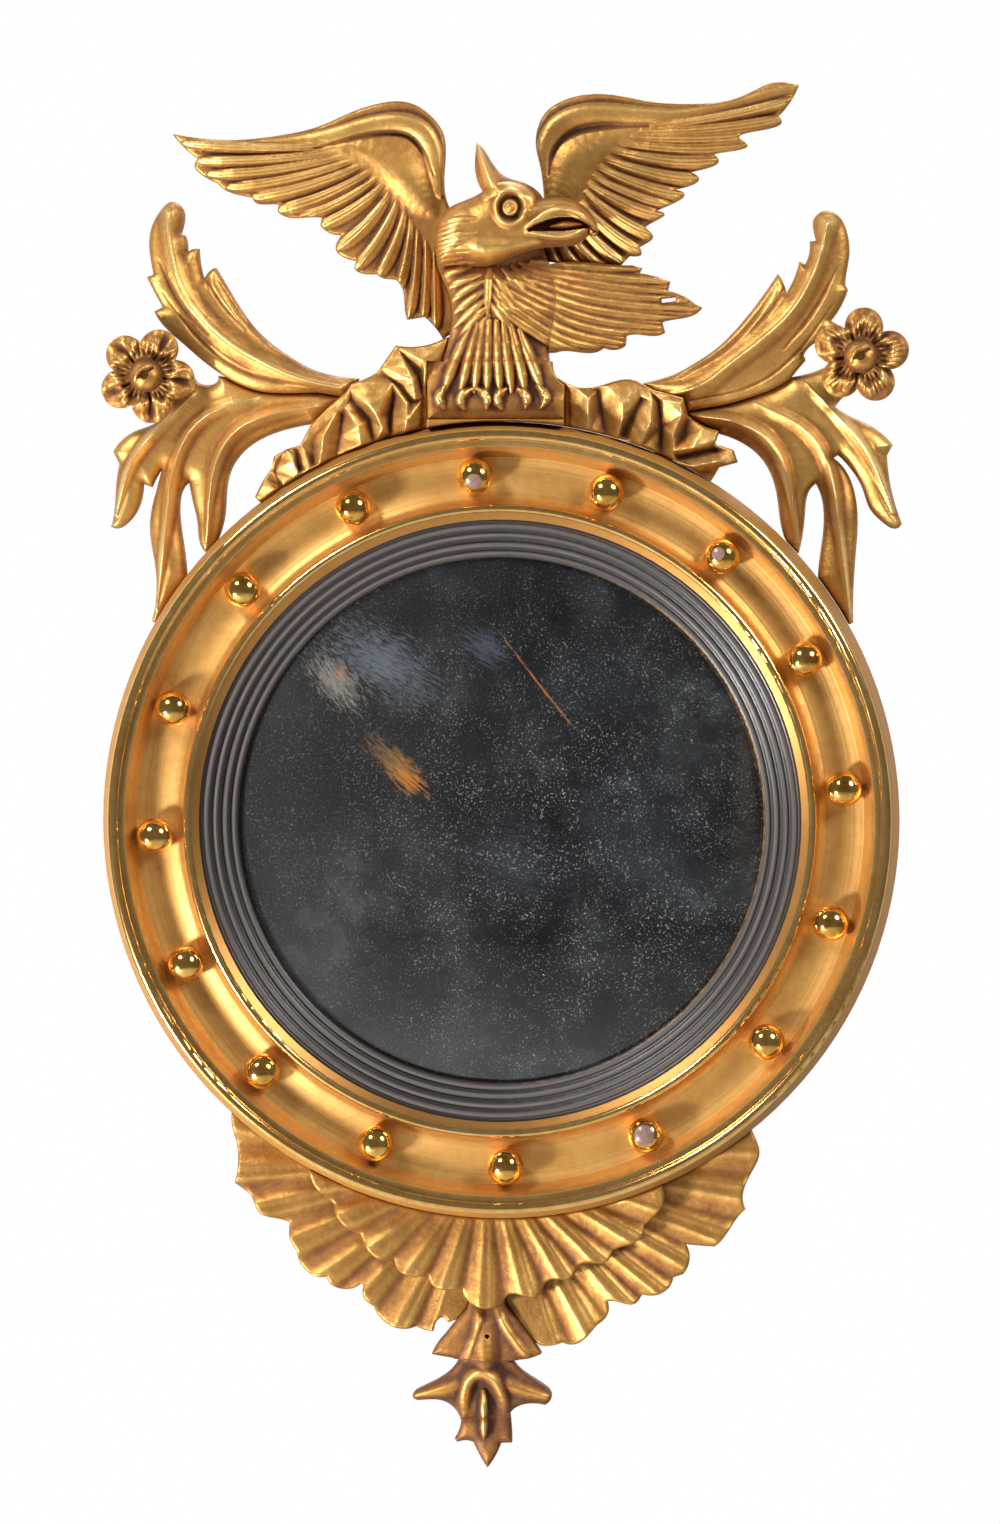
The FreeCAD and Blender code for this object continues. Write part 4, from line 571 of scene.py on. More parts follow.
# %% Breast, legs and tail
TAIL_FEATHERS = [
    [(22, 391), (62, 388), (97, 386)], [(20, 389), (66, 381), (118, 377)], [(16, 387), (66, 375), (119, 370)],
    [(12, 385), (64, 369), (131, 364)], [(8, 383), (62, 363), (138, 358)], [(6, 380), (58, 357), (126, 351)],
    [(4, 377), (54, 351), (112, 345)], [(3, 373), (50, 346), (99, 340)], [(2, 369), (45, 341), (87, 334)],
    [(1, 364), (40, 337), (71, 331)], [(0, 358), (34, 335), (55, 329)]]
BREAST_STROKES = [
    [(-14, 382), (-26, 378), (-38, 372)], [(-12, 377), (-24, 371), (-36, 362)],
    [(-10, 371), (-22, 363), (-34, 353)], [(-9, 365), (-20, 356), (-32, 345)],
    [(-8, 359), (-18, 350), (-29, 338)], [(-7, 353), (-14, 345), (-22, 336)],
    [(-4, 382), (5, 371), (13, 358)], [(-5, 376), (5, 363), (16, 350)], [(-5, 369), (5, 356), (15, 344)],
    [(-5, 361), (4, 350), (13, 339)], [(2, 386), (14, 374), (26, 362)], [(8, 388), (22, 376), (34, 366)],
    [(-20, 388), (-32, 385), (-42, 381)], [(14, 390), (32, 381), (48, 374)],
    [(-7, 386), (-8, 372), (-8, 352)]]
SHINS = [
    [(-20, 345), (-32, 322), (-40, 298)], [(-15, 347), (-22, 322), (-28, 299)],
    [(-11, 348), (-15, 322), (-18, 300)], [(-7, 349), (-8, 322), (-9, 299)], [(-2, 349), (-1, 322), (0, 299)],
    [(3, 348), (6, 322), (8, 300)], [(8, 346), (14, 322), (18, 299)], [(14, 343), (22, 322), (30, 300)]]
CLAWS = [
    [(-40, 303), (-44, 296), (-39, 289)], [(-20, 302), (-29, 297), (-25, 288)],
    [(-15, 302), (-8, 297), (-9, 289)], [(4, 302), (-3, 297), (1, 288)], [(13, 302), (20, 297), (18, 289)],
    [(26, 304), (34, 297), (29, 289)]]


LEG_TOP, PLINTH_TOP = 327, 300           # heights where the carving of the legs and of the plinth begins
BREAST_JOINT = 321.6                     # height of the joint between the breast and the legs
CRACK = [(-50, 279.6, 0.8, 1.5), (-30, 280.4, 0.8, 1.5), (-5, 279.4, 0.8, 1.5), (20, 280.2, 0.8, 1)]


def bird(x, z, edge):
    """Depth of the bird's front: breast and shins swell forward, and the tail runs out to the right."""
    height = np.interp(z, (279, 300, 318, 340, 358, 378, 388, 400), (41, 42, 44, 48, 54, 49, 41, 38))
    left = np.clip(1 - (np.clip(-6 - x, 0, 60) / 44) ** 2, 0, 1)
    right = np.exp(-(np.clip(x + 2, 0, 200) / np.interp(z, (300, 330, 350), (70, 52, 44))) ** 2)
    spread = np.where(x < -4, np.sqrt(left), right)
    side = np.interp(x, (40, 138), (27, 23))
    base = side + (height - side) * spread + dome(edge, 3.5, 2.5) - 2.5 + 0.5 * waves(x, z, 16, 5)
    low = np.clip((LEG_TOP - z) / 14, 0, 1)
    between = [[(a + 1.5, b - 4) for a, b in line] for line in TAIL_FEATHERS[:-2]]
    marks = np.maximum.reduce([
        strokes(x, z, TAIL_FEATHERS, 4.0, 4.0), strokes(x, z, BREAST_STROKES, 3.2, 3.0) * (z > 330),
        strokes(x, z, between, 1.8, 2.2), strokes(x, z, SHINS, 4.3, 6.0)])
    block = 39.5 + dome(edge, 7, 2.5) + 0.4 * waves(x, z, 13, 2)
    legs = np.maximum(base * (1 - low) + (38 + 3 * spread) * low, 38)
    front = np.where(z < LEG_TOP, legs, base)
    top = np.clip((PLINTH_TOP - z) / 5, 0, 1)
    claws = strokes(x, z, CLAWS, 3.4, 6.5)
    return (front + marks) * (1 - top) + block * top + claws - rib(x, z, CRACK, soft)


def seam(x, z):
    """The joints of the breast with the legs and the tail, which the carving runs across."""
    return (np.abs(z - BREAST_JOINT) < 0.6) | ((x > 18) & (x < 47) & (z > 331) & (z < 400))


# Painted shade: the breast, legs and tail are darkened as a whole.
carve("breast", "eagle_body", 20, 8, bird, 0.6, seam, lap=(0.3, -0.3), dirt=0.09)
carve("legs", "eagle_legs", 30, 8, bird, 0.6, seam, dirt=0.09)
carve("tail", "eagle_tail", 20, 14, bird, 0.6, seam, dirt=0.09)

# %% [markdown]
# The head looks to the right. It has an open hooked beak, a ringed eye, a crest and long neck feathers.

# %% Head
NECK = [[(-16 - 5 * (k % 3), 421 - 3.5 * k), (-34, 420 - 3.5 * k), (-47, 414 - 3.2 * k)] for k in range(10)]
EYE = (8, 428)
BEAK = [
    (18, 424, 5, 2), (30, 430, 8, 5), (44, 431.5, 8, 6), (57, 427, 7, 6), (64, 420, 5, 5), (68, 414, 2.5, 3)]
UPPER_LIP = [
    (20, 415, 1.6, 2), (29, 422, 2.2, 4), (38, 426.5, 2.4, 5), (49, 427, 2.4, 5), (59, 422.5, 2.2, 5),
    (65, 415, 1.8, 3)]
LOWER_LIP = [(20, 411, 1.6, 2), (30, 409, 2.4, 4), (41, 407, 2.6, 5), (53, 408.5, 2.4, 5), (61, 414, 1.8, 3)]
CHEEK = [(-14, 399, 10, 2), (4, 398, 10, 4), (26, 402, 7, 3)]
BROW = [(-9, 437, 4, 2), (2, 443, 4, 4), (15, 442, 4, 4), (24, 434, 3.5, 4), (22, 424, 2.5, 2)]
CREST = [(-4, 442, 7, 3), (-8, 452, 5.5, 6), (-12, 463, 4, 6), (-15.5, 473, 1.8, 3)]
MOUTH = [(21, 412.5, 1.2, 1), (31, 415.5, 3.6, 1), (44, 417, 5.6, 1), (54, 417, 4.2, 1), (61, 415, 1.2, 1)]
BIRD_TONGUE = [(36, 415, 1.6, 5), (46, 416.5, 3.6, 9), (57, 416.5, 1.4, 5)]
MOUTH_BOX = (18, 408.3, 62, 427)
THROAT_TOP, THROAT_END = 387, 42


def throat(x, z):
    """The joint under the neck, where the head's carving runs on into the breast."""
    return (z < THROAT_TOP) & (x < THROAT_END)


def head(x, z, edge):
    """Depth of the head: a domed skull with the eye, the beak, the crest and the neck on it."""
    full = np.clip((z - 384) / np.interp(x, (-30, 0), (24, 6)), 0, 1)
    skull = 44 + (1 + dome(edge, 20, 18)) * np.sin(full * np.pi / 2) + 0.4 * waves(x, z, 12, 4)
    neck = strokes(x, z, NECK, 1.8, 1.5)
    beak = rib(x, z, BEAK, soft) + rib(x, z, UPPER_LIP)
    cheek = full * rib(x, z, CHEEK, soft)
    away = np.hypot((x - EYE[0]) / 0.93, z - EYE[1])
    socket = 3.6 * np.exp(-((away - 11.4) / 2.2) ** 2) - 2.6 * np.exp(-((away - 7.4) / 2.2) ** 2)
    ring = 1.8 * np.exp(-((away - 5.0) / 1.1) ** 2) + 3.2 * np.exp(-(away / 2.3) ** 2)
    parts = [neck, beak, rib(x, z, LOWER_LIP), cheek, rib(x, z, BROW), rib(x, z, CREST, sharp)]
    top = skull + np.maximum.reduce(parts) + socket + ring
    return np.where(rib(x, z, MOUTH) > 0.25, np.minimum(top, 49 + rib(x, z, BIRD_TONGUE)), top)


carve("head", "eagle_head", 60, 40, head, 0.5, throat, MOUTH_BOX)

# %% [markdown]
# ## Rocks, leaves and brackets
# The rocks are cut in flat facets that meet in ridges. The leaves are smooth and turn at their edges.

# %% Rocks
LEFT_RIDGES = [
    [(-72, 331, 41), (-54, 322, 44), (-52, 316, 44)], [(-84, 319, 40), (-61, 308, 46), (-59, 295, 44)],
    [(-88, 313, 40), (-75, 306, 43), (-65, 292, 46), (-65, 280, 46), (-67, 270, 44)],
    [(-104, 302, 43), (-98, 308, 43), (-88, 306, 44), (-80, 298, 46), (-91, 291, 48), (-104, 302, 43)],
    [(-91, 291, 48), (-86, 284, 47), (-82, 275, 44)], [(-108, 290, 42), (-99, 276, 45), (-97, 262, 43)],
    [(-114, 287, 42), (-123, 270, 46), (-126, 250, 43)], [(-140, 264, 40), (-134, 246, 42)],
    [(-150, 261, 41), (-145, 252, 44), (-140, 240, 42)], [(-162, 247, 40), (-150, 234, 41)],
    [(-167, 240, 40), (-155, 229, 42)]]
LEFT_VALLEYS = [
    [(-57, 312, 35), (-54, 296, 34), (-54, 270, 33)], [(-80, 311, 39), (-70, 303, 38), (-62, 293, 37)],
    [(-74, 297, 37), (-78, 284, 35), (-77, 270, 34)], [(-104, 296, 39), (-92, 281, 36), (-88, 263, 34)],
    [(-110, 284, 36), (-112, 270, 35), (-115, 254, 34)], [(-130, 270, 38), (-131, 250, 36)],
    [(-143, 258, 37), (-141, 246, 36)], [(-158, 244, 36), (-152, 232, 35)]]
LEFT_BORDER = [
    (-185, 220, 33), (-185, 290, 34), (-120, 330, 34), (-80, 350, 36), (-20, 350, 38), (-20, 240, 33)]
RIGHT_RIDGES = [
    [(53, 303, 42), (62, 295, 46), (62, 270, 43)],
    [(71, 304, 42), (78, 302, 44), (86, 291, 47), (86, 282, 46), (82, 267, 43)],
    [(86, 291, 47), (96, 302, 44), (104, 302, 44)], [(86, 284, 46), (98, 297, 43), (106, 294, 45)],
    [(106, 294, 45), (105, 278, 47), (97, 260, 43)],
    [(115, 294, 43), (126, 292, 46), (127, 284, 46), (121, 270, 45), (121, 259, 43)],
    [(142, 276, 41), (152, 272, 43), (149, 266, 45), (135, 261, 45), (120, 258, 42)],
    [(160, 258, 42), (155, 252, 44), (135, 248, 43), (122, 251, 40)]]
RIGHT_VALLEYS = [
    [(47, 301, 35), (48, 285, 33), (48, 270, 33)], [(68, 301, 38), (70, 288, 35), (74, 270, 34)],
    [(100, 296, 39), (92, 283, 37), (85, 270, 34)], [(111, 293, 38), (112, 275, 35), (113, 256, 34)],
    [(132, 282, 36), (126, 268, 35)], [(150, 260, 36), (125, 254, 34)], [(146, 244, 36), (132, 242, 35)]]
RIGHT_BORDER = [
    (30, 250, 34), (30, 320, 36), (90, 322, 36), (140, 310, 34), (175, 280, 34), (180, 240, 34),
    (130, 215, 33)]


def rock(lines, border, seed):
    """Rockwork in flat facets, a little rounded at its outline."""
    def shape(x, z, edge):
        return facets(x, z, lines, border) + dome(edge, 2, 1.5) - 1.5 + 0.35 * waves(x, z, 7, seed)
    return shape


# Painted light: the rocks are lightened a little as a whole.
pair("rock_", "rockwork_", 30, 8, rock(LEFT_RIDGES + LEFT_VALLEYS, LEFT_BORDER, 1),
     rock(RIGHT_RIDGES + RIGHT_VALLEYS, RIGHT_BORDER, 4), step=0.7, dirt=-0.03)

# %% Upper leaves
LEFT_LEAF = [
    (-112, 303), (-140, 309), (-163, 319), (-187, 332), (-207, 349), (-225, 373), (-233, 405), (-233, 426)]
LEFT_FOLDS = [
    [(-135, 318), (-163, 334), (-184, 354), (-199, 378)], [(-180, 344), (-200, 366), (-213, 394)],
    [(-135, 304), (-180, 312), (-214, 337), (-238, 371)], [(-205, 340), (-226, 362), (-240, 392)]]
RIGHT_LEAF = [(108, 297), (126, 299), (144, 306), (160, 319), (184, 337), (206, 357), (222, 387), (229, 418)]
RIGHT_FOLDS = [
    [(126, 311), (156, 328), (178, 350), (194, 376)], [(175, 342), (194, 362), (208, 392)],
    [(132, 294), (176, 302), (208, 326), (233, 362)], [(198, 330), (220, 356), (236, 388)]]


def leaf(spine, folds, seed):
    """A leaf with a raised spine and a sharp crease along it, and shallow folds beside it."""
    def shape(x, z, edge):
        middle = rib(x, z, [(a, b, 9, 4.5) for a, b in spine], soft)
        crease = rib(x, z, [(a, b, 2.2, 2.0) for a, b in spine], sharp)
        board = 20 + dome(edge, 12, 6)
        return board + middle + crease - strokes(x, z, folds, 2.2, 1.6, soft) + 0.6 * waves(x, z, 19, seed)
    return shape


pair("upper_leaf_", "leaf_", 20, 8, leaf(LEFT_LEAF, LEFT_FOLDS, 6), leaf(RIGHT_LEAF, RIGHT_FOLDS, 8))

# %% Brackets
LEFT_BRACKET = [
    [(-122, 291, 5, 0), (-160, 286, 8, 5), (-188, 274, 8, 6), (-203, 247, 6, 6), (-207, 195, 2, 2)],
    [(-170, 297, 6, 0), (-212, 284, 7, 5), (-231, 250, 7, 6), (-235, 205, 6, 5), (-243, 148, 2, 2)],
    [(-215, 300, 6, 0), (-246, 270, 7, 5), (-262, 248, 6, 5), (-271, 214, 2, 2)]]
RIGHT_BRACKET = [
    [(136, 283, 5, 0), (166, 280, 8, 5), (189, 268, 8, 6), (202, 242, 6, 6), (207.5, 195, 2, 2)],
    [(178, 292, 6, 0), (214, 276, 7, 5), (233, 245, 7, 6), (237, 200, 6, 5), (244, 146, 2, 2)],
    [(214, 306, 6, 0), (244, 276, 7, 5), (262, 250, 6, 5), (275, 216, 2, 2)]]


def bracket(spines, seed):
    """A bracket of leaves, each with a raised spine and a sharp crease along it."""
    def shape(x, z, edge):
        lines = [[row[:2] for row in spine] for spine in spines]
        board = 14 + dome(edge, 13, 9) + ribs(x, z, spines, soft)
        return board + strokes(x, z, lines, 1.8, 1.6, sharp) + 0.6 * waves(x, z, 26, seed)
    return shape


# Painted light: the brackets are lightened as a whole.
pair("bracket_leaf_", "bracket_", 20, 8, bracket(LEFT_BRACKET, 3), bracket(RIGHT_BRACKET, 7), dirt=-0.06)

# %% Flowers
LEFT_FLOWER, RIGHT_FLOWER = (-248, 312), (252, 325)


def flower(cx, cz, first):
    """Five cupped petals, each with a raised rim and a fold to the middle. first is a petal's angle."""
    def shape(x, z, edge):
        turn = np.degrees(np.arctan2(z - cz, x - cx)) - first
        away = np.hypot(x - cx, z - cz)
        between = np.abs((turn + 36) % 72 - 36) / 36
        angle = np.radians(turn)
        crest = 21.5 + 3.0 * np.cos(5 * angle) + 1.2 * np.sin(11 * angle)
        near = np.exp(-((away - crest) / 4.0) ** 2)
        ruffle = np.sin(41 * angle + 2 * np.sin(5 * angle))
        curl = 4.6 * near * (1 + 0.25 * np.sin(9 * angle + 1)) + 1.1 * near * ruffle
        fold = 3.4 * np.exp(-((1 - between) / 0.15) ** 2) * np.clip(away / 16, 0, 1)
        ribs_in = 0.8 * np.sin(29 * angle) * np.exp(-((away - 15.5) / 2.5) ** 2)
        rim = 1.4 * np.clip(edge / 3, 0, 1) - 1.0
        return 39.3 + rim + curl - fold + ribs_in + 0.6 * waves(x, z, 9, first) + 0.35 * waves(x, z, 4, first)
    return shape


# Painted shade: the petals are darkened as a whole.
pair("flower_petals_", "flower_", 37, 36, flower(*LEFT_FLOWER, 98), flower(*RIGHT_FLOWER, 78),
     step=0.6, dirt=0.06)


def button(cx, cz):
    """A domed button with a ring and a slit across it."""
    def shape(x, z, edge):
        away = np.hypot(x - cx, z - cz)
        slit = rib(x, z, [(cx - 5, cz - 2, 1, 2), (cx - 2, cz, 1.6, 5), (cx + 6, cz + 5, 1, 2)], soft)
        ring = rib(x, z, [(cx - 7, cz - 4, 2, 1.5), (cx - 5, cz + 3, 2, 1.8), (cx + 4, cz + 7, 2, 1.5)], soft)
        return 44 + np.sqrt(np.clip(143 - away ** 2, 0, 143)) - slit + ring + 0.4 * waves(x, z, 5, cx)
    return shape


# Painted shade: the flower buttons are darkened as a whole.
pair("flower_middle_", "flower_button_", 43, 42.3, button(*LEFT_FLOWER), button(*RIGHT_FLOWER),
     step=0.4, dirt=0.2)


def strip(x, z, edge):
    """The plain strip along the plinth's front."""
    return 50.2 + dome(edge, 1.6, 1.6)


carve("plinth_edge", "plinth_strip", 30, 8, strip)

# %% [markdown]
# ## Shells and pendant
# Two shells lie behind and one in front. Their flutes spread from a point at the top.

# %% Shells
FRONT_LOBES = (
    (-124, -254), (-107, -279), (-86, -301), (-60, -315), (-37, -325), (-11, -338), (18, -330), (43, -318),
    (66, -306), (90, -291), (107, -269))
LEFT_LOBES = (
    (-186, -212), (-184, -248), (-167, -273), (-145, -298), (-118, -319), (-94, -334), (-68, -352),
    (-44, -356))
RIGHT_LOBES = (
    (34, -366), (60, -356), (84, -336), (108, -328), (128, -310), (152, -292), (170, -262), (176, -230))


SHELL_HUB = (-10, -236)


def shell(board, lobes, height, seed):
    """Flutes that run on into each other, from the hub to a lobe each. They rise towards the rim."""
    hx, hz = SHELL_HUB
    turns = [math.atan2(lx - hx, hz - lz) for lx, lz in lobes]
    reach = [math.hypot(lx - hx, lz - hz) for lx, lz in lobes]

    def shape(x, z, edge):
        turn = np.arctan2(x - hx, hz - z)
        phase = np.interp(turn, turns, np.arange(len(lobes)))
        away = np.hypot(x - hx, z - hz) / np.interp(turn, turns, reach)
        flute = 0.5 + 0.5 * np.cos(2 * np.pi * (phase - 0.06 * np.sin(2 * np.pi * phase)))
        rise = height * np.clip(away, 0.05, 1) ** 2.7 * flute
        fine = 0.5 * np.cos(6 * np.pi * phase + 0.6 + 2 * away) * np.clip(away - 0.3, 0, 1)
        return board + dome(edge, 2.0, 1.2) + rise + fine + 0.5 * waves(x, z, 21, seed)
    return shape


# Painted shade: the shells are darkened a little as a whole.
carve("front_shell", "shell_front", 28, 24.2, shell(27.5, FRONT_LOBES, 5.2, 2), dirt=0.04)
pair("rear_shell_", "shell_rear_", 17.5, 8, shell(15.2, LEFT_LOBES, 4.6, 5),
     shell(15.2, RIGHT_LOBES, 4.6, 9), dirt=0.04)

# %% Pendant
TONGUE = [
    (-12, -402, 2.2, 2), (-12, -410, 2.9, 6), (-12, -424, 3, 7), (-12, -431, 2.4, 6), (-12, -435, 1.2, 2)]
FOLDS = [
    [(-13, -338, 5, 3), (-15, -356, 6, 4), (-22, -377, 6, 2)],
    [(-3, -340, 4, 2), (2, -356, 5, 3), (18, -377, 5, 2)],
    [(-11, -352, 9, 2), (-11, -372, 12, 6), (-12, -388, 12, 9)]]
BLADES = [
    [(-24, -396, 9, 4), (-44, -403, 7, 3.5), (-60, -405, 4, 3)],
    [(4, -397, 9, 4), (20, -403, 7, 3.5), (34, -405.5, 4, 3)]]
NAIL, HUSK_JOINT, DROP_JOINT = (-9.5, -363), -379, -418
HOOD = [
    (-26, -416, 5, 1), (-26, -404, 7, 6), (-23, -393, 8, 9), (-15, -388, 9, 11), (-6, -391, 9, 10),
    (0, -401, 7, 8), (3, -415, 5, 1)]


def pendant(x, z, edge):
    """One carving over three pieces: a flared leaf, a winged husk curled into a hood, and a tongue."""
    shell_edge = np.interp(x, (-37, -24, -11, 4, 18), (-324, -330, -339.5, -333, -329))
    down = np.clip((shell_edge - z) / 16, 0, 1)
    board = np.interp(z, (-455, -420, -400, -384, -345), (17.5, 18.5, 20, 20.5, 21)) + dome(edge, 7, 4)
    carving = np.maximum.reduce([ribs(x, z, FOLDS, soft) * down, ribs(x, z, BLADES, soft),
                                 rib(x, z, HOOD, soft), rib(x, z, TONGUE)])
    nail = 6 * (np.hypot(x - NAIL[0], z - NAIL[1]) < 1.5)
    top = board + carving - nail
    return np.where(z > shell_edge + 0.5, 19, 22 + (top - 22) * down) + 0.4 * waves(x, z, 14, 3)


def pendant_joint(x, z):
    """The joints between the pendant's pieces, which the carving runs across."""
    husk, drop = np.abs(z - HUSK_JOINT) < 1.5, np.abs(z - DROP_JOINT) < 6
    return husk & (np.abs(x + 11) < 23) | drop & (np.abs(x + 10) < 18)


# Painted shade: the pendant's pieces are darkened as a whole, the lower ones most.
carve("collar_leaf", "pendant_collar", 17, 8, pendant, 0.6, pendant_joint, lap=(0, -0.3), dirt=0.18)
carve("husk_leaf", "pendant_husk", 20, 8, pendant, 0.6, pendant_joint, dirt=0.24)
carve("drop_leaf", "pendant_drop", 17, 8, pendant, 0.6, pendant_joint, lap=(0, 0.9), dirt=0.26)

# %% [markdown]
# ## Turned parts, glass and fittings
# These keep the solids of the CAD model. The frame's finish changes with the distance from the middle of the
# glass, so that each bead, cove and flat has its own gilding.

# %% Gilding on the turned frame
def radius(place):
    """Distance from the glass's middle in millimetres, seen from the front."""
    centred = vector("ADD", place, (0, 0, -MIDDLE / 1000))
    return vector("LENGTH", vector("MULTIPLY", centred, (1000, 0, 1000)))


def turning_lines(place, millimetres):
    """Noise that changes only with the radius: the lines of the lathe."""
    return noise(join("CombineXYZ", {"X": radius(place)}), 1000 * millimetres, 3.0, 0.6)


WOOD_BEHIND = -0.0095                    # metres: the frame is bare wood from here to the wall
INNER_LIP, OUTER_BEAD = 215.8, 272.0     # radii of the lip by the slip and of the outer bead's side


def turned_gilding():
    """Water gilding: bright burnished beads, a matt hollow and bare wood at the back."""
    made, put, place = material("water gilding on turned wood")
    away = radius(place)
    broad = noise(place, 55, 3)
    fine = noise(place, 6, 5, 0.6)
    grain = noise(place, 1.1, 3, 0.7)
    matt = levels(span(away, 180, 280), (
        (0.0, 0.7), (1.0, 0.15), (0.355, 0.7), (0.37, 0.05), (0.415, 0.05), (0.425, 0.65), (0.48, 0.9),
        (0.72, 0.95), (0.81, 0.7), (0.83, 0.2), (0.855, 0.05), (0.97, 0.05)))
    turned = turning_lines(place, 2.5)
    wear = plus(plus(times(broad, 0.3), times(fine, 0.35)), times(turned, 0.35))
    bright = ramp(wear, ((0.30, "B47A34"), (0.42, "D8A45C"), (0.55, "E8BE76"), (0.70, "F2D092")))
    dull = ramp(wear, ((0.28, "B07434"), (0.42, "C8924A"), (0.58, "D4A258"), (0.74, "DCAE66")))
    gilt = mix(matt, bright, dull)
    spots = levels(grain, ((0.0, 0.6), (1.0, 0.0), (0.26, 0.6), (0.33, 0.0)))
    gilt = mix(spots, gilt, colour("5A2E1A"))
    wood = above(axis(place, "Y"), WOOD_BEHIND)
    facing = axis(made.node_tree.nodes.new("ShaderNodeNewGeometry").outputs["Normal"], "Y")
    bare = most(wood, above(facing, 0.3))
    wash = times(above(away, OUTER_BEAD), span(facing, -0.7, -0.35))
    gilt = mix(wash, gilt, colour("A8742F"))
    # Painted shade: the flat between the inner bead and the slip is darkened to orange brown.
    gilt = mix(times(below(away, INNER_LIP), 0.75), gilt, colour("A06A30"))
    pine_wood = ramp(noise(place, 9, 5), ((0.3, "6E4A2A"), (0.5, "94693F"), (0.7, "AD8153")))
    put("Base Color", mix(bare, gilt, pine_wood))
    gold = minus(minus(0.95, times(matt, 0.3)), wash, True)
    put("Metallic", times(minus(gold, bare, True), minus(1.0, spots)))
    put("Roughness", plus(times(matt, 0.34), plus(0.13, times(most(bare, wash), 0.45))))
    relief = plus(turned, times(times(fine, 0.4), matt))
    put("Normal", bumped(relief, 0.35, plus(0.08, times(matt, 0.6))))
    return made


def dress(node, finish):
    """Give a solid of the CAD model its finish."""
    nodes[node].data.materials.clear()
    nodes[node].data.materials.append(finish)


dress("frame_ring", turned_gilding())
print("frame dressed")

# %% Burnished balls
LOST_LEAF = ((-17.4, 237.5, 5.4), (153.0, 187.2, 4.6), (101.5, -218.5, 7.2))     # x, z and size
BALL_FRONT = -0.0615     # metres


def burnished_gilding():
    """Hard burnished leaf with worn spots where the pale ground shows."""
    made, put, place = material("burnished gilding on balls")
    broad = noise(place, 14, 3)
    fine = noise(place, 3, 5, 0.65)
    tone = ramp(plus(times(broad, 0.6), times(fine, 0.4)),
                ((0.30, "9A5A20"), (0.44, "D29A45"), (0.58, "E9BC66"), (0.75, "F2D08A")))
    lost = 0.0
    for x, z, size in LOST_LEAF:
        centre = (x / 1000, BALL_FRONT, (z + MIDDLE) / 1000)
        away = vector("DISTANCE", place, centre)
        lost = most(lost, below(stirred(away, fine, 0.002), size / 1000))
    put("Base Color", mix(lost, tone, mix(fine, colour("5E4238"), colour("A08274"))))
    put("Metallic", minus(0.97, lost, True))
    put("Roughness", plus(0.06, times(plus(lost, fine), 0.12)))
    put("Normal", bumped(broad, 0.5, 0.5))
    return made


burnished = burnished_gilding()
for number in range(1, 17):
    dress(f"ball_{number:02d}", burnished)
print("balls dressed")

# %% Black reeded slip
REEDS, SIGHT_EDGE = (187.5, 193.5, 200.5, 206.5), 185.4     # radii


def black_slip():
    """Black stained wood, its reed crests grey-brown with wear and painted highlight, and some gold at the
    sight edge.
    """
    made, put, place = material("ebonised wood")
    away = radius(place)
    fine = noise(place, 4, 5, 0.65)
    crest = 0.0
    for at in REEDS:
        crest = most(crest, span(calc("ABSOLUTE", minus(away, at), 0.0), 0.4, 2.0, 1.0, 0.0))
    # Painted highlight: the reed crests are lighter grey-brown, on top of their wear.
    rubbed_and_highlit = times(crest, span(turning_lines(place, 1.2), 0.3, 0.7))
    tone = mix(rubbed_and_highlit, colour("373231"), colour("766D68"))
    sight = times(below(away, SIGHT_EDGE), span(fine, 0.42, 0.6))
    sight = times(sight, span(axis(place, "X"), 0.05, 0.14))
    put("Base Color", mix(sight, tone, colour("B98A45")))
    put("Metallic", times(sight, 0.8))
    put("Roughness", span(fine, 0, 1, 0.25, 0.5))
    put("Normal", bumped(fine, 0.1, 0.4))
    return made


dress("reeded_slip", black_slip())
print("slip dressed")

# %% Old mirror glass
# Marks in the silvering: middle x and z, half length, half width, lean in degrees, strength, colour
GLASS_MARKS = (
    (-66, 32, 17, 9, 40, 0.95, "B0702E"), (-76, 44, 22, 9, 40, 0.55, "8A6A44"),
    (26, 98, 42, 0.9, 52, 0.9, "A5672E"), (-116, 98, 24, 13, 52, 0.6, "98928A"),
    (-112, 104, 6, 5, 0, 0.5, "A87848"), (-84, 112, 40, 22, 30, 0.5, "747C86"),
    (-10, 122, 18, 12, 30, 0.45, "5A6270"), (70, 96, 34, 26, 10, 0.25, "3C434C"),
    (100, -10, 60, 45, 70, 0.25, "3A4048"), (10, -30, 40, 30, 20, 0.3, "4A4F56"),
    (172, 40, 9, 110, 0, 0.35, "5A4A3C"))


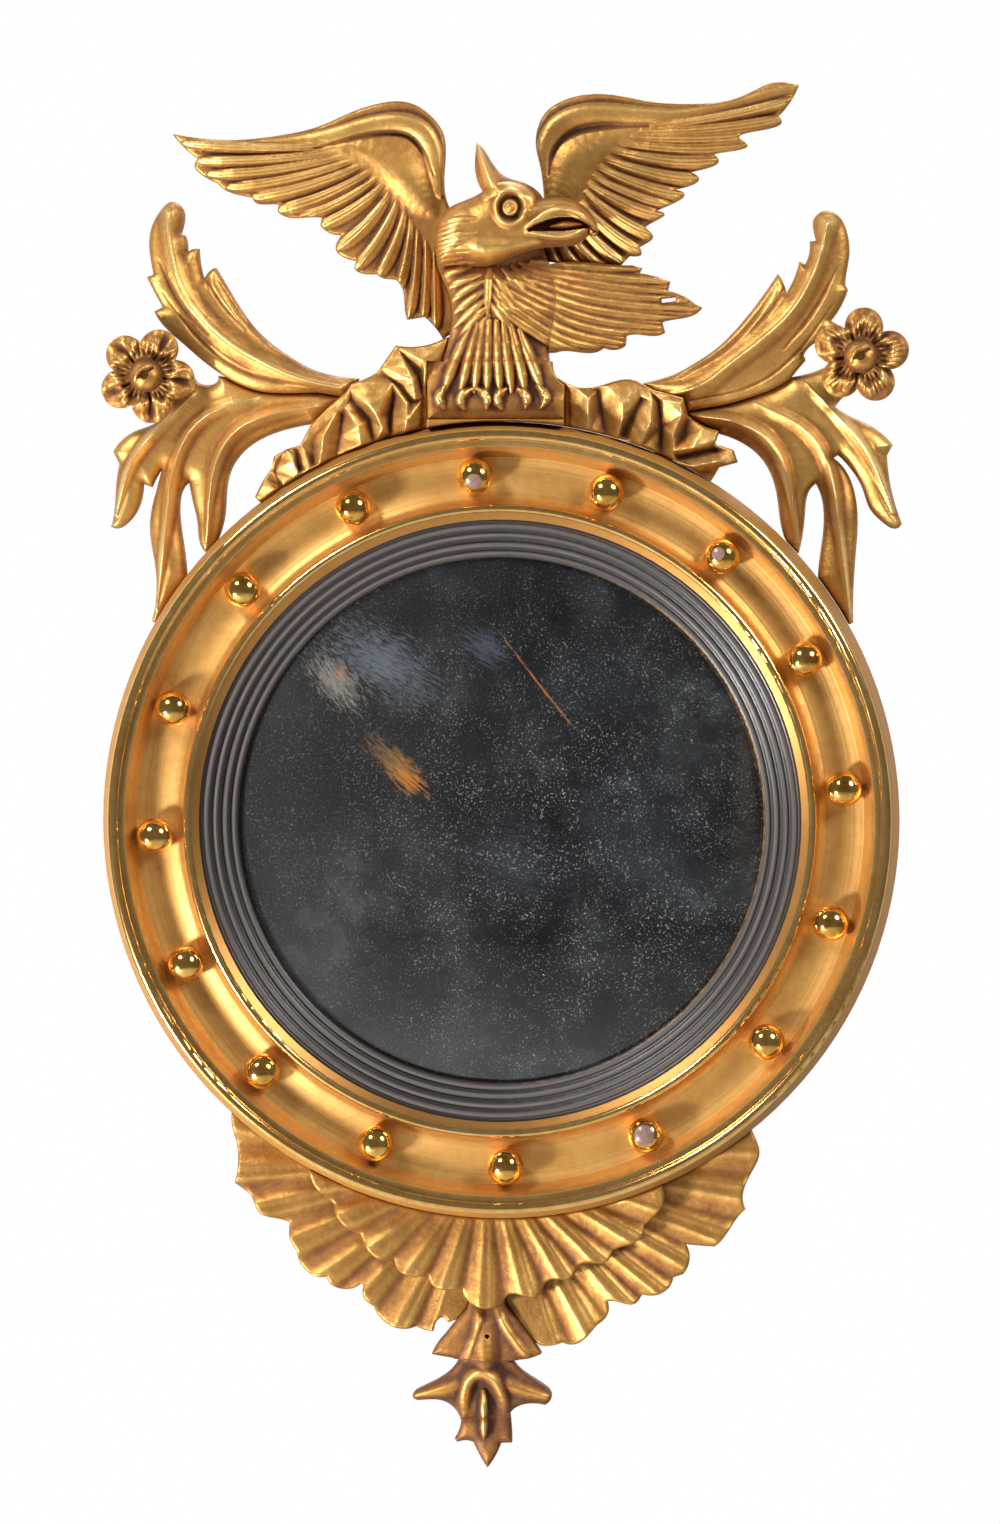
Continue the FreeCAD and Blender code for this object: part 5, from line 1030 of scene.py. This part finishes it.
def old_silvering():
    """Dark old silvering with a painted dark reflection, cloudy patches, thousands of pale specks and a red
    patch of bare ground.
    """
    made, put, place = material("foxed silvered glass")
    cloud = noise(place, 95, 5, 0.6)
    wisps = noise(place, 26, 6, 0.7)
    specks = noise(place, 1.5, 3, 0.65)
    left = span(axis(place, "X"), 0.03, -0.16)
    centred = vector("SUBTRACT", place, (0.07, 0, (MIDDLE - 20) / 1000))
    away = vector("LENGTH", vector("MULTIPLY", centred, (1, 0, 1)))
    dense = span(away, 0.20, 0.05)
    # Painted reflection: the dark tone is partly silvering gone dark and partly the dark room that the glass
    # reflects.
    tone = ramp(plus(times(cloud, 0.7), times(wisps, 0.3)),
                ((0.38, "0C0D0E"), (0.49, "1C1D1F"), (0.58, "303335"), (0.70, "565A5E")))
    tone = mix(times(left, 0.7), tone, colour("32302F"))
    dusty = levels(specks, ((0.0, 0.0), (1.0, 1.0), (0.58, 0.0), (0.65, 1.0)))
    thick = times(span(wisps, 0.40, 0.60), plus(0.25, dense))
    dust = times(dusty, plus(0.06, times(thick, 0.62)), True)
    tone = mix(dust, tone, colour("A9AAA6"))
    for x, z, long, wide, lean, share, code in GLASS_MARKS:
        gap = vector("SUBTRACT", place, (x / 1000, 0, (z + MIDDLE) / 1000))
        turned = join("VectorRotate", {"Vector": gap, "Angle": math.radians(-lean)}, rotation_type="Y_AXIS")
        far = vector("LENGTH", vector("MULTIPLY", turned, (1000 / long, 0, 1000 / wide)))
        streak = noise(vector("MULTIPLY", turned, (0.12, 1, 1)), 1.6, 4, 0.7)
        mark = span(stirred(far, streak, 4.0), 0.1, 1.1, share, 0.0)
        tone = mix(mark, tone, colour(code))
    put("Base Color", tone)
    put("Metallic", 0.25)
    put("Roughness", span(cloud, 0, 1, 0.08, 0.16))
    put("Coat Weight", 1.0)
    put("Coat Roughness", 0.03)
    return made


dress("convex_glass", old_silvering())
print("glass dressed")

# %% Bare pine, brass and iron
def pine():
    """Old pine with long dark grain lines."""
    made, put, place = material("bare pine")
    grain = noise(vector("MULTIPLY", place, (1.0, 1.0, 0.06)), 7, 5, 0.6)
    tone = ramp(grain, ((0.3, "5E3F24"), (0.46, "8B6138"), (0.62, "A87B4C"), (0.8, "BC9060")))
    put("Base Color", tone)
    put("Roughness", 0.72)
    put("Normal", bumped(grain, 0.3, 0.6))
    return made


def metal(name, dark, light, rough):
    """Dull old metal, darker in patches."""
    made, put, place = material(name)
    patch = noise(place, 5, 5, 0.6)
    put("Base Color", ramp(patch, ((0.35, dark), (0.62, light))))
    put("Metallic", 1.0)
    put("Roughness", span(patch, 0, 1, rough, rough + 0.2))
    return made


finishes = {"bare_pine": pine(), "brass": metal("old brass", "6E5326", "B08D4A", 0.3),
            "steel": metal("black iron", "2B2826", "5A5552", 0.38), "carved_gilding": carved}
for slot, names in {
        "bare_pine": ("backboard", "glass_blocks"),
        "carved_gilding": ("flower_pin_left", "flower_pin_right"),
        "brass": ["hanger_plate", "hanging_ring", "hanger_screws", "button_screws"]
                 + [f"turn_button_{number}" for number in range(1, 7)],
        "steel": ("mounting_straps", "strap_screws")}.items():
    for node in names:
        dress(node, finishes[slot])
print("fittings dressed")

# %% [markdown]
# ## Camera, light and surroundings
# The photograph was taken from a little to the right and a little above the middle of the glass.

# %% Camera
def toward(turn, rise, away):
    """The way from the mirror to a place in front of it, at degrees to the right and upward."""
    a, b = math.radians(turn), math.radians(rise)
    return away * Vector((math.sin(a) * math.cos(b), -math.cos(a) * math.cos(b), math.sin(b)))


def aim(obj, target):
    """Turn a lamp or the camera to a place."""
    obj.rotation_euler = (Vector(target) - obj.location).to_track_quat("-Z", "Y").to_euler()


camera = show("camera", bpy.data.cameras.new("camera"))
bpy.context.scene.camera = camera
glass_height = MIDDLE / 1000
look = Vector((0.0, -0.040, glass_height + 0.0413))      # the middle of the photograph
camera.location = look + toward(2.4, 1.7, 6.0)
aim(camera, look)
camera.data.sensor_width = 36.0
camera.data.lens = 202.5
print("camera", [round(v, 3) for v in camera.location])

# %% Light and floor
def lamp(name, turn, rise, away, size, power):
    """A round soft lamp that looks at the middle of the glass."""
    light = bpy.data.lights.new(name, "AREA")
    light.shape = "DISK"
    light.size = size
    light.energy = power
    obj = show(name, light)
    obj.location = toward(turn, rise, away) + Vector((0, 0, glass_height))
    aim(obj, (0, 0, glass_height))


lamp("left and low", -52, -24, 2.6, 0.45, 92)
lamp("left and high", -42, 40, 2.8, 0.7, 46)
lamp("right and high", 52, 32, 3.0, 1.1, 54)
lamp("behind and high", 165, 48, 3.2, 1.5, 30)

# The room is white behind the mirror, which the camera and bright metal see. It is dim in front of it.
world = bpy.data.worlds.new("dim room")
bpy.context.scene.world = world
world.use_nodes = True
tree = world.node_tree
DIM, WHITE = (0.13, 0.13, 0.135, 1), (1, 1, 1, 1)
ray = tree.nodes.new("ShaderNodeLightPath").outputs
way = axis(tree.nodes.new("ShaderNodeTexCoord").outputs["Generated"], "Y")
mirrored = times(most(ray["Is Glossy Ray"], ray["Is Transmission Ray"]), above(way, 0.15))
shade = mix(most(ray["Is Camera Ray"], mirrored), DIM, WHITE)
set_input(tree.nodes["Background"].inputs["Color"], shade)

paint, put, _ = material("pale floor paint")
put("Base Color", colour("E8E6E2"))
put("Roughness", 0.6)
FLOOR_HALF, FLOOR_DROP = 4, 1.35         # metres
floor = bpy.data.meshes.new("floor")
floor.from_pydata([(x * FLOOR_HALF, y * FLOOR_HALF, glass_height - FLOOR_DROP)
                   for x, y in ((-1, -1), (1, -1), (1, 1), (-1, 1))], [], [(0, 1, 2, 3)])
floor.materials.append(paint)
show("floor", floor)
bpy.context.scene.view_settings.view_transform = "Standard"
print("lights and floor ready")
